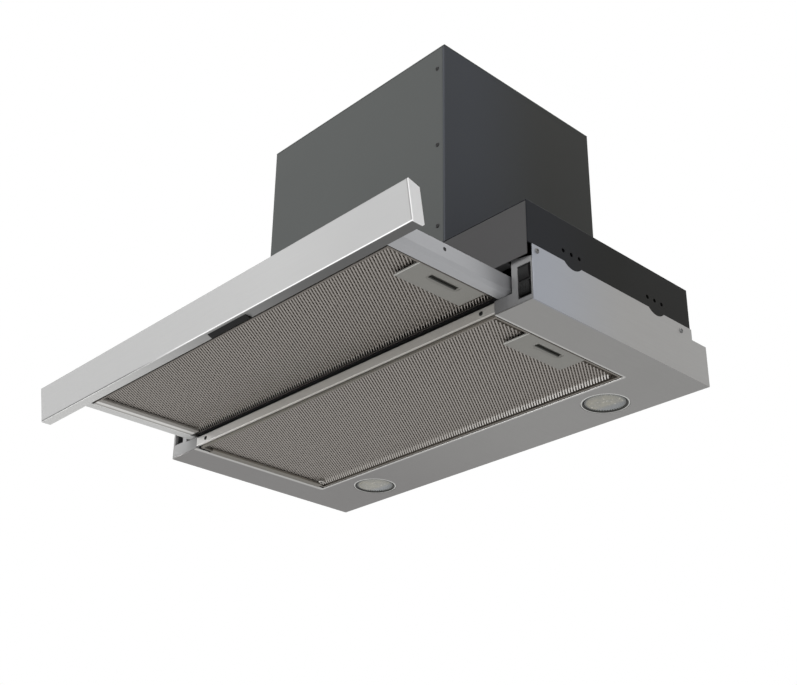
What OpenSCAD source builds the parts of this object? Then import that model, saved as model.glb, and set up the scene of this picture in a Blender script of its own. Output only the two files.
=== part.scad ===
// Pull-out cooker hood for a wall cabinet, with its drawer drawn out.
// X runs along the front, +X is the switch side. Y runs to the wall. Z is up.
// The modules use the pan's front edge as Y zero, and hood_frame moves them
// to the middle of the hood's footprint on its underside.

/* [Pan] */
// Width of the pan
body_w = 569; // [550:1:575]
// Depth of the pan, front edge to wall
pan_d = 275; // [270:1:300]
// Height of the pan's side walls
pan_h = 57.5; // [55:0.5:60]
// Height of the pan behind the chassis
step_h = 45.5; // [36:0.5:50]
// Depth of the low part behind the chassis
step_d = 24.5; // [16:0.5:30]
// Pan left between the filter opening and each side
side_strip = 48.6; // [47:0.1:54]
// Pan left behind the filter opening, where the lamps sit
lamp_strip = 81; // [76:1:90]
// Steel sheet of pan, chassis and housing
sheet = 1; // [0.8:0.1:1.2]
// Height of the turned-up lip round the filter opening
lip_h = 3; // [2.6:0.1:3.2]

/* [Chassis] */
// Height of the chassis top over the pan's underside
chassis_h = 104.5; // [98:0.5:125]
// How far the chassis front stands before the pan's front edge
front_proud = 4.7; // [4.4:0.1:6]
// Height of the front panel's lower edge, which clears the drawer
slot_top = 46.2; // [45.8:0.1:50]
// Radius of the fixing holes in the chassis sides
fix_r = 2.2; // [2:0.1:3]
// Spacing of the three holes in a group
fix_pitch = 11.9; // [10:0.1:14]
// Height of the fixing holes
fix_z = 69.7; // [67:0.1:74]
// Place of the front group, back from the pan's front edge
fix_y = 58.8; // [52:0.1:66]
// Distance between the groups
fix_span = 131.5; // [120:0.5:150]

/* [Motor housing] */
// Width of the housing
housing_w = 287; // [275:1:310]
// Height of the housing over the chassis
housing_h = 244.3; // [240:0.1:290]
// Offset of the housing and its blower towards the switch side
housing_x = 33.7; // [0:0.1:40]
// Housing front, back from the pan's front edge
housing_y = -4.2; // [-4.2:0.1:6]
// Housing back, before the chassis back
housing_inset = 13.7; // [3:0.1:15]

/* [Drawer] */
// How far the facade's back stands before the pan
drawer_out = 153; // [140:0.5:156]
// Gap left between facade and pan when the drawer is shut
stop_gap = 4.5; // [4:0.1:7]
// Height of the sill: cross bar and low ends of the caps
sill_h = 15; // [14.5:0.1:15.6]
// Width of a drawer rail
rail_w = 15; // [14:0.5:16]
// Height of a drawer rail
rail_h = 19; // [18.5:0.1:20]
// Outer face of a rail, in from the pan's side
rail_inset = 29.2; // [28:0.1:32]
// Wall of a rail
rail_wall = 1.5; // [1.2:0.1:1.8]
// Length of a rail behind the pan's front edge
rail_back = 96; // [80:1:97]

/* [Facade] */
// Height of the facade's lower edge over the pan's underside
facade_z = 3; // [1:0.5:4]
// Width of the facade
facade_w = 599; // [575:1:650]
// Height of the facade's front
facade_h = 39.2; // [34:0.1:41]
// Depth of the facade
facade_t = 13.2; // [12:0.1:16]
// How far the facade's top leans forward
facade_lean = 6.5; // [3:0.5:8]
// Fall of the facade's top towards the back
facade_fall = 3.7; // [1:0.1:5]
// Steel skin of the facade
skin = 0.8; // [0.6:0.1:1]
// Width of the pull tab under the facade
tab_w = 60; // [45:1:80]

/* [Filters] */
// Thickness of a filter cassette
filter_t = 9; // [8:0.5:9.5]
// Width of a latch plate
latch_w = 33; // [32:1:38]
// Length of a latch plate
latch_l = 84; // [80:1:90]
// Pitch of the mesh's folds
fold_pitch = 5.8; // [4:0.1:9]
// Height of the mesh's folds
fold_h = 2.6; // [1.6:0.1:2.8]

/* [Switches] */
// Width of the switch window in an end cap
window_w = 16; // [15.6:0.1:16.6]
// Height of the switch window
window_h = 34; // [33:0.1:36]
// Height of the window's centre
window_z = 22.8; // [22.4:0.1:23.6]
// Height closed off at the foot of the window on the side without switches
blank_h = 10.8; // [6:0.1:14]
// Tilt of a rocker to each side, in degrees
rocker_tilt = 7; // [4:1:7]

/* [Outlet] */
// Outer radius of the duct spigot
duct_r = 59.5; // [57:0.5:61]
// Height of the spigot over the housing
duct_h = 38; // [30:1:60]
// Wall of the spigot
duct_wall = 2; // [1.6:0.1:2.4]

/* [Blower] */
// Radius of the fan wheel
wheel_r = 74; // [70:0.5:76]
// Width of the fan wheel
wheel_w = 118; // [100:1:120]
// Blades round the wheel
blade_count = 36; // [24:1:42]
// Radius of the scroll where it starts
scroll_start = 80; // [78:0.5:82]
// Radius of the scroll where it meets the outlet
scroll_end = 104; // [100:0.5:106]
// Width inside the scroll
scroll_w = 126; // [124:1:132]
// Radius of the inlets at both sides
inlet_r = 60; // [56:0.5:61]
// Radius of the motor
motor_r = 44; // [38:0.5:46]
// Radius of the motor shaft
shaft_r = 4; // [3:0.5:5]

/* [Lamps] */
// Outer radius of a lamp's bezel
lamp_r = 26.4; // [24:0.2:30]
// Distance between the two lamps
lamp_span = 363; // [330:1:380]

/* [Hidden] */

// Shared clearances and cut overrun
seat_gap = 0.2;
run_gap = 0.4;
overrun = 2;
round_fn = 64;
bore_fn = 32;

// Main planes
half_w = body_w / 2;
chassis_back = pan_d - step_d;
chassis_out = half_w - sheet - seat_gap;
chassis_in = chassis_out - sheet;
pan_floor = sheet + seat_gap;
facade_reach = drawer_out + facade_t + facade_lean;
frame_y = (pan_d - facade_reach) / 2;

// Filter opening in the pan
open_x = half_w - side_strip;
open_back = pan_d - lamp_strip;

// Fixing hole groups and the notches that clear them
fix_rows = [fix_y, fix_y + fix_span];
notch_dip = 5.4;
notch_r = fix_z - pan_h + notch_dip;

// Side screws of the pan
screw_r = 1.8;
screw_head_r = 3.2;
screw_head_h = 1.4;
screw_fit = 0.05;
screw_front_in = 6.6;
screw_front_down = 5.5;
screw_rear_in = 18.8;
screw_rear_down = 7.6;
screw_front = [screw_front_in, pan_h - screw_front_down];
screw_rear = [chassis_back - screw_rear_in, pan_h - screw_rear_down];

// End caps
cap_low_w = 22;
cap_gap = 3;
cap_d = 16;
cap_low_d = 12;
cap_wall = 1.6;
cap_face = 2;
cap_in_h = 50;
cap_out_h = 45.5;
cap_tall_x = half_w - rail_inset + cap_gap;
cap_low_x = cap_tall_x - cap_low_w;
cap_out_x = half_w - sheet - seat_gap;
tongue_in = 26;
tongue_y = 1.2;
tongue_t = 2;
bar_hole_in = 17.4;
bar_hole_r = 1.4;
bar_screw_h = 0.8;
bar_screw_head = 2.4;

// Cross bar between the caps
bar_h = 10;
bar_d = 3.4;
bar_drop = 1.6;
bar_z = sill_h + seat_gap - bar_drop - bar_h;
bar_x = cap_low_x - seat_gap;
bar_hole_x = cap_low_x - bar_hole_in;

// Switch block and rockers
window_rim = 1.5;
window_x = cap_out_x - window_rim - window_w / 2;
block_fit = 0.25;
block_d = 26;
block_y = 0.4;
block_wall = 1;
well_d = 10;
well_h = 15;
key_w = 12.8;
key_half = 6.5;
key_front = 6;
key_dip = 1;
key_rear = 3;
key_rear_half = 4.5;
key_bump = 1.4;
pivot_y = 4;
trunnion_r = 1.2;
trunnion_gap = 0.05;
trunnion_out = 0.8;
rib_w = 1;
rib_h = 0.5;
rib_count = 4;
blade_w = 6.3;
blade_t = 0.8;
blade_l = 9;
key_pitch = window_h / 2 - run_gap;
light_z = window_z + key_pitch / 2;
fan_z = window_z - key_pitch / 2;

// Drawer rails, their guides and what ties them together
rail_out = half_w - rail_inset;
rail_in = rail_out - rail_w;
sill_gap = 0.6;
rail_z = sill_h + sill_gap;
rail_top = rail_z + rail_h;
rail_bevel = 4;
rail_lip = 3;
rail_upper_lip = 6.5;
guide_t = 1.6;
guide_flange = 10;
guide_front = 46;
guide_end = 6;
guide_back = chassis_back - sheet - guide_end;
guide_foot = 18;
shoe_l = 17;
shoe_out = 3;
shoe_fit = 0.15;
rail_screw_y = -84.8;
rail_screw_down = 6.2;
rail_screw_z = rail_top - rail_screw_down;
rail_screw_r = 2;
travel = drawer_out - stop_gap;

// Filters
filter_wall = 0.8;
lip_clear = 0.3;
hinge_gap = 4;
latch_side_gap = 1.5;
filter_front_gap = 0.6;
front_filter_start = 15;
front_filter_end = 3;
rear_latch_shift = 5.2;
front_latch_shift = 13.5;
tab_reach = 5.5;
tab_y_w = 14;
tab_t = 1.5;
tab_inset = 24;
border_low = 2.2;
border_top = 6;
mesh_t = 1;
mesh_fit = 0.2;
mesh_rise = 4.2;
plate_t = 1.4;
latch_slot_l = 35;
latch_slot_w = 5.8;
latch_slot_in = 8.5;
latch_rail_t = 2;
latch_rail_h = 4.6;
slider_half = 18.2;
slider_t = 2.6;
slider_l = 28;
bolt_half = 7;
bolt_t = 1.7;
bolt_throw = 3.5;
ledge_w = 1.8;
finger_r = 13;
arm_t = 0.9;
arm_l = 22;
recess = 0.8;
rear_filter = [-open_x + hinge_gap, open_x - latch_side_gap, bar_d + filter_front_gap,
    open_back - latch_side_gap];
rear_filter_z = recess;
rear_lip_x = open_x;
rear_latch_y = (rear_filter[2] + rear_filter[3]) / 2 - rear_latch_shift;
front_lip_x = rail_in;
front_filter = [-rail_in + hinge_gap, rail_in - latch_side_gap,
                -drawer_out + front_filter_start, -front_filter_end];
front_filter_z = rail_z + recess;
front_latch_y = (front_filter[2] + front_filter[3]) / 2 + front_latch_shift;

// Facade section, leaning forward at its top
facade_back_h = facade_h - facade_fall;
foot_bend = 2;
bend_share = sqrt(2) - 1;
bar_front_rise = 4.6;
bar_front_z = rail_z + bar_front_rise;
bar_front_d = 7;
tab_x = 41.6;
tab_in = 2.4;
tab_d = 8.4;
tab_h = 2.3;
tab_fall = 5.4;
tab_flat = 1;
tray_t = 0.8;
core_t = 1.6;
tray_front_gap = 1;
rear_bar_d = 8;
rear_bar_y = 2;

// Motor housing
housing_l = housing_x - housing_w / 2;
housing_r = housing_x + housing_w / 2;
housing_b = chassis_back - housing_inset;
housing_top_z = chassis_h + housing_h;
flange = 12;
wrap_band = 3;
wrap_lap = 22;
wrap_screw_in = 10.7;
wrap_head_r = 2.6;
wrap_head_h = 1;
wrap_screw_low = 21.5;
wrap_screw_high = 27;
inlet_margin = 20;
wrap_screws_z = [
    chassis_h + wrap_screw_low, (chassis_h + wrap_screw_low + housing_top_z - wrap_screw_high) / 2,
    housing_top_z - wrap_screw_high
];

// Blower scroll, opening upwards
scroll_wall = 2;
scroll_rim = 4;
scroll_step = 10;
cutoff_deg = 80;
scroll_sweep = 260;
scroll_rear_r = scroll_start + (scroll_end - scroll_start) * cutoff_deg / scroll_sweep;
scroll_gap = 5;
outlet_flange = 6;
blower_x = housing_x;
blower_y = housing_b - sheet - scroll_gap - scroll_wall - scroll_rear_r - scroll_rim;
blower_rise = 110;
blower_z = chassis_h + blower_rise;
scroll_top = housing_top_z - sheet - seat_gap;
cutoff_y = scroll_start * cos(cutoff_deg);
bell_w = 4;
bell_h = 6;
blade_inner = 11;
blade_thick = 1;
blade_lead = 12;
blade_half_turn = blade_thick * 90 / PI;
disc_t = 2;
ring_w = 3;
ring_t = 3;
hub_r = 11;
hub_l = 24;
shaft_fit = 0.05;
shaft_out = 12;
mount_l = 8;
mount_r = 7;
mount_waist = 5;
mount_ring = 72.5;
bracket_t = 3;
bracket_hub = 32;
bracket_arm = 14;
cap_r = 17.5;
cap_h = 72;
cap_lift = 26;

// Duct spigot with its two non-return flaps
spigot_y = blower_y + (cutoff_y - scroll_end) / 2;
spigot_flange = 14;
spigot_flange_t = 3;
spigot_in = duct_r - duct_wall;
spigot_screw_r = 1.8;
pin_r = 1.5;
pin_rise = 11;
pin_z = housing_top_z + pin_rise;
knuckle_r = 2.9;
knuckle_l = 14;
knuckle_gap = 0.4;
flap_t = 1.2;
flap_clear = 1.2;
flap_start = 3.6;
ledge_in = 3.2;
ledge_t = 1.6;

// Terminal box on the chassis, beside the housing
term_w = 84;
term_d = 62;
term_h = 30;
term_wall = 2;
term_gap = 30;
term_x = housing_l - term_gap - term_w;
term_y = 110;
cover_t = 2;
cover_skirt = 3.6;
gland_r = 9;
gland_bore = 4.2;
gland_nut = 11;
gland_l = 14;
gland_nut_t = 5;
gland_rise = 15;
gland_z = chassis_h + gland_rise;

// Lamps
lamp_in = 42;
lamp_y = pan_d - lamp_in;
lamp_lip = 4;
lamp_barrel = 2;
lamp_rise = 10;
lamp_fit = 0.25;
cup_flange = 4;
cup_t = 1.6;
cup_h = 22;
glass_t = 2.5;
glass_z = 4;
bezel_lift = 0.1;

// Boxes, sides and extruded sections
module hood_frame() translate([0, -frame_y, 0]) children();
module span(lo, hi) translate(lo) cube(hi - lo);
module on_side(side) {
    if (side < 0) mirror([1, 0, 0]) children();
    else children();
}
module along_x(x0, x1) translate([x0, 0, 0]) rotate([90, 0, 90]) linear_extrude(x1 - x0) children();
module along_y(y0, y1) translate([0, y1, 0]) rotate([90, 0, 0]) linear_extrude(y1 - y0) children();
module rod_x(x0, x1, r, fn = bore_fn) translate([x0, 0, 0]) rotate([0, 90, 0]) cylinder(r = r,
    h = x1 - x0, $fn = fn);
module rod_y(y0, y1, r, fn = bore_fn) translate([0, y0, 0]) rotate([-90, 0, 0]) cylinder(r = r,
    h = y1 - y0, $fn = fn);

// The pan: bottom plate, side walls notched under the fixing holes, wall side
module pan_side() difference() {
    polygon([[0, 0], [pan_d, 0], [pan_d, step_h], [chassis_back, step_h], [chassis_back, pan_h], [0,
        pan_h]]);
    for (y = fix_rows) translate([y, fix_z]) circle(r = notch_r, $fn = round_fn);
}
module pan_lip() difference() {
    span([-open_x - sheet, 0, 0], [open_x + sheet, open_back + sheet, lip_h]);
    span([-open_x, -overrun, -overrun], [open_x, open_back, lip_h + overrun]);
}
module lower_pan() color("silver") hood_frame() difference() {
    union() {
        difference() {
            span([-half_w, 0, 0], [half_w, pan_d, sheet]);
            span([-open_x, -overrun, -overrun], [open_x, open_back, sheet + overrun]);
        }
        pan_lip();
        for (side = [-1, 1]) on_side(side) along_x(half_w - sheet, half_w) pan_side();
        span([-half_w, pan_d - sheet, 0], [half_w, pan_d, step_h]);
        span([-half_w, chassis_back + seat_gap, step_h - sheet], [half_w, pan_d, step_h]);
    }
    for (side = [-1, 1]) on_side(side) {
        span([open_x - overrun, -overrun, sheet], [cap_low_x + cap_wall, cap_low_d + seat_gap,
            lip_h + overrun]);
        translate([lamp_span / 2, lamp_y, -overrun])
            cylinder(r = lamp_r + lamp_fit, h = sheet + 2 * overrun, $fn = round_fn);
        for (at = [screw_front, screw_rear]) translate([0, at[0], at[1]])
            rod_x(half_w - sheet - overrun, half_w + overrun, screw_r + screw_fit);
    }
}
module pan_screws() color("gray") hood_frame() for (side = [-1, 1]) on_side(side)
    for (at = [screw_front, screw_rear]) translate([0, at[0], at[1]]) {
        rod_x(half_w, half_w + screw_head_h, screw_head_r);
        rod_x(chassis_in - overrun, half_w, screw_r);
    }

// The cross bar: a folded strip screwed to the tongues of the caps
module cross_bar() color("silver") hood_frame() difference() {
    span([-bar_x, 0, bar_z], [bar_x, bar_d, bar_z + bar_h]);
    span([-bar_x - overrun, sheet, bar_z + sheet], [bar_x + overrun, bar_d + overrun,
        bar_z + bar_h - sheet]);
    for (side = [-1, 1]) on_side(side) translate([bar_hole_x, 0, bar_z + bar_h / 2])
        rod_y(-overrun, overrun, bar_hole_r + screw_fit);
}
module bar_screws() color("dimgray") hood_frame() for (side = [-1, 1]) on_side(side)
    translate([bar_hole_x, 0, bar_z + bar_h / 2]) {
        rod_y(-bar_screw_h, 0, bar_screw_head);
        rod_y(0, tongue_y + tongue_t, bar_hole_r);
    }

// End caps: hollow mouldings with the switch window and a tongue for the bar
module cap_outline(w) polygon([
    [cap_low_x + w, pan_floor + w], [cap_out_x - w, pan_floor + w], [cap_out_x - w, cap_out_h - w],
    [cap_tall_x + w, cap_in_h - w], [cap_tall_x + w, sill_h - w], [cap_low_x + w, sill_h - w]
]);
module end_cap(side, blank) on_side(side) difference() {
    union() {
        difference() {
            along_y(0, cap_d) cap_outline(0);
            along_y(cap_face, cap_d + overrun) cap_outline(cap_wall);
            span([cap_low_x - overrun, cap_low_d, -overrun], [cap_tall_x, cap_d + overrun,
                sill_h + overrun]);
        }
        span([cap_low_x - tongue_in, tongue_y, bar_z + sheet + seat_gap],
             [cap_low_x + cap_wall, tongue_y + tongue_t, bar_z + bar_h - sheet - seat_gap]);
    }
    translate([window_x, 0, window_z])
        span([-window_w / 2, -overrun, blank - window_h / 2], [window_w / 2, cap_face + overrun,
            window_h / 2]);
    translate([bar_hole_x, 0, bar_z + bar_h / 2]) rod_y(0, tongue_y + tongue_t + overrun,
        bar_hole_r + screw_fit);
}
module end_cap_left() color("gray") hood_frame() end_cap(-1, blank_h);
module end_cap_right() color("gray") hood_frame() end_cap(1, 0);

// Switch block with two wells, and the rockers on their trunnions
module switch_block() color("dimgray") hood_frame() translate([window_x, 0, 0]) {
    difference() {
        span([-window_w / 2 + block_fit, block_y, window_z - window_h / 2 + block_fit],
             [window_w / 2 - block_fit, block_d, window_z + window_h / 2 - block_fit]);
        for (z = [light_z, fan_z]) translate([0, 0, z]) {
            span([-window_w / 2 + block_fit + block_wall, -overrun, -well_h / 2],
                 [window_w / 2 - block_fit - block_wall, well_d, well_h / 2]);
            translate([0, pivot_y, 0]) rod_x(-window_w, window_w, trunnion_r + trunnion_gap);
        }
    }
    for (z = [light_z, fan_z], dz = [-1, 1]) translate([0, 0, z + dz * well_h / 4])
        span([-blade_w / 2, block_d, -blade_t / 2], [blade_w / 2, block_d + blade_l, blade_t / 2]);
}
module rocker_pivot() {
    rod_x(-key_w / 2 - trunnion_out, key_w / 2 + trunnion_out, trunnion_r);
}
module light_rocker() color("dimgray") hood_frame() translate([window_x, pivot_y, light_z])
    rotate([rocker_tilt, 0, 0]) {
        along_x(-key_w / 2, key_w / 2) polygon(concat(
            [for (k = [-4 : 4]) [-key_front + key_bump * pow(k / 4, 2), k / 4 * key_half]],
            [[key_rear, key_rear_half], [key_rear, -key_rear_half]]));
        rocker_pivot();
    }
module fan_rocker() color("dimgray") hood_frame() translate([window_x, pivot_y, fan_z]) {
    along_x(-key_w / 2, key_w / 2) polygon([
        [-key_front, key_half], [-key_front + key_dip, 0], [-key_front, -key_half],
        [key_rear, -key_rear_half], [key_rear, key_rear_half]]);
    for (k = [0 : rib_count - 1]) translate([(k - (rib_count - 1) / 2) * key_w / rib_count, 0, 0])
        along_x(-rib_w / 2, rib_w / 2) polygon([
            [-key_front, key_half], [-key_front - rib_h + key_dip, 0], [-key_front, -key_half],
            [0, 0]]);
    rocker_pivot();
}

// The chassis: top, sides and back in one folded shell, and the front panel
module chassis_side() polygon([
    [cap_d + overrun, pan_floor], [chassis_back, pan_floor], [chassis_back, chassis_h],
    [-front_proud, chassis_h], [-front_proud, pan_h + sheet], [sheet, pan_h + sheet],
    [sheet, cap_out_h + sheet], [cap_d + overrun, cap_out_h + sheet]
]);
module chassis_shell() color("#47484b") hood_frame() difference() {
    union() {
        for (side = [-1, 1]) on_side(side) along_x(chassis_in, chassis_out) chassis_side();
        span([-chassis_out, -front_proud, chassis_h - sheet], [chassis_out, chassis_back, chassis_h]);
        span([-chassis_out, chassis_back - sheet, step_h - sheet], [chassis_out, chassis_back,
            chassis_h]);
    }
    span([housing_l + inlet_margin, housing_y + inlet_margin, chassis_h - sheet - overrun],
         [housing_r - inlet_margin, housing_b - inlet_margin, chassis_h + overrun]);
    for (side = [-1, 1]) on_side(side) {
        for (y = fix_rows, k = [-1 : 1]) translate([0, y + k * fix_pitch, fix_z])
            rod_x(chassis_in - overrun, chassis_out + overrun, fix_r);
        for (at = [screw_front, screw_rear]) translate([0, at[0], at[1]])
            rod_x(chassis_in - overrun, chassis_out + overrun, screw_r + screw_fit);
    }
}
module chassis_front() color("#505050") hood_frame() {
    reach = chassis_in - seat_gap;
    low_reach = cap_tall_x - cap_gap / 2;
    back = -front_proud + sheet;
    top = chassis_h - sheet - seat_gap;
    span([-reach, -front_proud, slot_top], [reach, back, top]);
    span([-low_reach, -front_proud, slot_top], [low_reach, -front_proud + guide_flange,
        slot_top + sheet]);
    span([-reach, -front_proud, top - sheet], [reach, -front_proud + guide_flange, top]);
}

// Guides: channels on the chassis sides that the drawer's rails slide in
module guide_section() {
    web = rail_out + run_gap;
    low = rail_z - run_gap - guide_t;
    high = rail_top + run_gap + guide_t;
    foot = chassis_in - seat_gap;
    polygon([
        [rail_out - guide_flange, low], [web + guide_t, low], [web + guide_t, high - guide_t],
        [foot - guide_t, high - guide_t], [foot - guide_t, high - guide_foot], [foot, high - guide_foot],
        [foot, high], [rail_out - guide_flange, high], [rail_out - guide_flange, high - guide_t],
        [web, high - guide_t], [web, low + guide_t], [rail_out - guide_flange, low + guide_t]
    ]);
}
module guide(side) on_side(side) along_y(guide_front, guide_back) guide_section();
module guide_left() color("gainsboro") hood_frame() guide(-1);
module guide_right() color("gainsboro") hood_frame() guide(1);

// Motor housing: two bent sheets that meet at opposite corners, and a top
wrap_top = housing_top_z - sheet - seat_gap;
wrap_base = chassis_h + seat_gap;
module housing_front_wrap() color("#606260") hood_frame() difference() {
    union() {
        span([housing_l, housing_y, wrap_base], [housing_r - wrap_band - seat_gap, housing_y + sheet,
            wrap_top]);
        span([housing_l, housing_y, wrap_base], [housing_l + sheet, housing_b - sheet - seat_gap,
            wrap_top]);
        span([housing_l, housing_y, wrap_base], [housing_r - wrap_lap - seat_gap, housing_y + flange,
            wrap_base + sheet]);
        span([housing_l, housing_y, wrap_base], [housing_l + flange, housing_b - sheet - seat_gap,
            wrap_base + sheet]);
        span([housing_l, housing_b - 2 * sheet - seat_gap, wrap_base],
             [housing_l + wrap_lap, housing_b - sheet - seat_gap, wrap_top]);
    }
    for (z = wrap_screws_z) {
        translate([housing_r - wrap_screw_in, housing_y, z]) rod_y(-overrun, overrun,
            screw_r + screw_fit);
        translate([housing_l + wrap_screw_in, housing_b, z]) rod_y(-3 * overrun, overrun,
            screw_r + screw_fit);
    }
}
module housing_rear_wrap() color("#3e3f42") hood_frame() difference() {
    union() {
        span([housing_r - sheet, housing_y, wrap_base], [housing_r, housing_b, wrap_top]);
        span([housing_l, housing_b - sheet, wrap_base], [housing_r, housing_b, wrap_top]);
        span([housing_r - wrap_band, housing_y, wrap_base], [housing_r,
            housing_y + 2 * sheet + seat_gap, wrap_top]);
        span([housing_r - wrap_lap, housing_y + sheet + seat_gap, wrap_base],
             [housing_r, housing_y + 2 * sheet + seat_gap, wrap_top]);
        span([housing_r - flange, housing_y + sheet + seat_gap, wrap_base], [housing_r, housing_b,
            wrap_base + sheet]);
        span([housing_l + wrap_lap + seat_gap, housing_b - flange, wrap_base], [housing_r, housing_b,
            wrap_base + sheet]);
    }
    for (z = wrap_screws_z) {
        translate([housing_r - wrap_screw_in, housing_y, z]) rod_y(-overrun, 3 * overrun,
            screw_r + screw_fit);
        translate([housing_l + wrap_screw_in, housing_b, z]) rod_y(-overrun, overrun,
            screw_r + screw_fit);
    }
}
module housing_top() color("#606260") hood_frame() difference() {
    union() {
        span([housing_l, housing_y, housing_top_z - sheet], [housing_r, housing_b, housing_top_z]);
        difference() {
            span([housing_l + sheet + seat_gap, housing_y + 2 * sheet + 2 * seat_gap,
                housing_top_z - flange],
                 [housing_r - sheet - seat_gap, housing_b - 2 * sheet - 2 * seat_gap, housing_top_z]);
            span([housing_l + 2 * sheet + seat_gap, housing_y + 3 * sheet + 2 * seat_gap,
                housing_top_z - flange - overrun],
                 [housing_r - 2 * sheet - seat_gap, housing_b - 3 * sheet - 2 * seat_gap,
                     housing_top_z - sheet]);
        }
    }
    translate([blower_x, spigot_y, housing_top_z - flange]) cylinder(r = spigot_in,
        h = flange + overrun, $fn = round_fn);
    for (at = spigot_screw_places) translate([at[0], at[1], housing_top_z - sheet - overrun])
        cylinder(r = spigot_screw_r + screw_fit, h = sheet + 2 * overrun, $fn = bore_fn);
}
module housing_screws() color("dimgray") hood_frame() for (z = wrap_screws_z) {
    translate([housing_r - wrap_screw_in, housing_y, z]) {
        rod_y(-wrap_head_h, 0, wrap_head_r);
        rod_y(0, 2 * sheet + overrun, screw_r);
    }
    translate([housing_l + wrap_screw_in, housing_b, z]) {
        rod_y(0, wrap_head_h, wrap_head_r);
        rod_y(-2 * sheet - overrun, 0, screw_r);
    }
}

// Duct spigot: flange, collar, bead and the ledge that the flaps rest on
spigot_screw_places = [for (a = [45 : 90 : 315])
    [blower_x + (duct_r + spigot_flange / 2) * cos(a), spigot_y + (duct_r + spigot_flange / 2) * sin(a)]];
module outlet_spigot() color("#3a3a3a") hood_frame() difference() {
    translate([blower_x, spigot_y, housing_top_z]) rotate_extrude($fn = round_fn) {
        polygon([
            [spigot_in, 0], [duct_r + spigot_flange, 0], [duct_r + spigot_flange, spigot_flange_t],
            [duct_r, spigot_flange_t], [duct_r, duct_h], [spigot_in, duct_h]
        ]);
        polygon([
            [spigot_in - ledge_in, pin_z - housing_top_z - flap_t / 2 - lip_clear - ledge_t],
            [spigot_in + duct_wall / 2, pin_z - housing_top_z - flap_t / 2 - lip_clear - ledge_t],
            [spigot_in + duct_wall / 2, pin_z - housing_top_z - flap_t / 2 - lip_clear],
            [spigot_in - ledge_in, pin_z - housing_top_z - flap_t / 2 - lip_clear]
        ]);
    }
    translate([blower_x, spigot_y, pin_z]) {
        rod_x(-duct_r - overrun, duct_r + overrun, pin_r + shaft_fit);
        span([-spigot_in, -knuckle_r - flap_clear, -knuckle_r - flap_clear],
             [spigot_in, knuckle_r + flap_clear, knuckle_r + flap_clear]);
    }
    for (at = spigot_screw_places) translate([at[0], at[1], housing_top_z - overrun])
        cylinder(r = spigot_screw_r + screw_fit, h = spigot_flange_t + 2 * overrun, $fn = bore_fn);
}
module spigot_screws() color("silver") hood_frame() for (at = spigot_screw_places)
    translate([at[0], at[1], housing_top_z - sheet - overrun]) {
        cylinder(r = spigot_screw_r, h = sheet + overrun + spigot_flange_t, $fn = bore_fn);
        translate([0, 0, sheet + overrun + spigot_flange_t])
            cylinder(r = screw_head_r, h = screw_head_h, $fn = bore_fn);
    }
module flap_pin() color("silver") hood_frame() translate([blower_x, spigot_y, pin_z])
    rod_x(-duct_r, duct_r, pin_r);
module flap(side, knuckles) {
    reach = spigot_in - flap_clear;
    difference() {
        union() {
            intersection() {
                translate([0, 0, -flap_t / 2]) cylinder(r = reach, h = flap_t, $fn = round_fn);
                on_y(side) span([-reach, flap_start, -flap_t], [reach, reach, flap_t]);
            }
            for (x = knuckles) on_y(side)
                span([x, 0, -flap_t / 2], [x + knuckle_l, flap_start + overrun, flap_t / 2]);
            for (x = knuckles) rod_x(x, x + knuckle_l, knuckle_r);
        }
        rod_x(-reach - overrun, reach + overrun, pin_r + shaft_fit);
    }
}
module on_y(side) {
    if (side < 0) mirror([0, 1, 0]) children();
    else children();
}
module flap_front() color("#444444") hood_frame() translate([blower_x, spigot_y, pin_z])
    flap(-1, [-2 * knuckle_l - knuckle_gap, knuckle_l / 2]);
module flap_rear() color("#444444") hood_frame() translate([blower_x, spigot_y, pin_z])
    flap(1, [-knuckle_l, 1.5 * knuckle_l + knuckle_gap]);

// Blower: scroll in two halves, double-inlet wheel, motor inside the wheel
function scroll_r(t) = scroll_start + (scroll_end - scroll_start) * t;
function scroll_point(t, grow) = let (a = cutoff_deg - scroll_sweep * t)
    [(scroll_r(t) + grow) * cos(a), (scroll_r(t) + grow) * sin(a)];
module scroll_outline(grow, top) {
    steps = scroll_sweep / scroll_step;
    polygon(concat([[0, 0]], [for (k = [0 : steps]) scroll_point(k / steps, grow)]));
    translate([-scroll_end - grow, 0]) square([scroll_end + cutoff_y + 2 * grow, top]);
}
module scroll_half() {
    outlet_h = scroll_top - blower_z;
    side = scroll_w / 2;
    difference() {
        union() {
            along_x(seat_gap / 2, side + scroll_wall) scroll_outline(scroll_wall, outlet_h);
            along_x(seat_gap / 2, scroll_wall) scroll_outline(scroll_wall + scroll_rim,
                outlet_h - outlet_flange);
            along_x(seat_gap / 2, side + scroll_wall + outlet_flange)
                translate([-scroll_end - scroll_wall - outlet_flange, outlet_h - scroll_wall])
                    square([scroll_end + cutoff_y + 2 * scroll_wall + 2 * outlet_flange, scroll_wall]);
            rotate([0, 90, 0]) rotate_extrude($fn = round_fn) polygon([
                [inlet_r, side], [inlet_r + bell_w, side], [inlet_r + bell_w,
                    side + scroll_wall + bell_h],
                [inlet_r + bell_w / 2, side + scroll_wall + bell_h], [inlet_r,
                    side + scroll_wall + bell_h / 2]
            ]);
        }
        along_x(-overrun, side) scroll_outline(0, outlet_h + overrun);
        rod_x(0, side + scroll_wall + bell_h + overrun, inlet_r, round_fn);
        for (a = [0 : 120 : 240]) rotate([a, 0, 0]) translate([0, 0, mount_ring])
            rod_x(side - overrun, side + scroll_wall + overrun, bar_hole_r);
    }
}
module scroll_left() color("#d8d8d4") hood_frame() translate([blower_x, blower_y, blower_z])
    mirror([1, 0, 0]) scroll_half();
module scroll_right() color("#d8d8d4") hood_frame() translate([blower_x, blower_y, blower_z])
    scroll_half();

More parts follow.
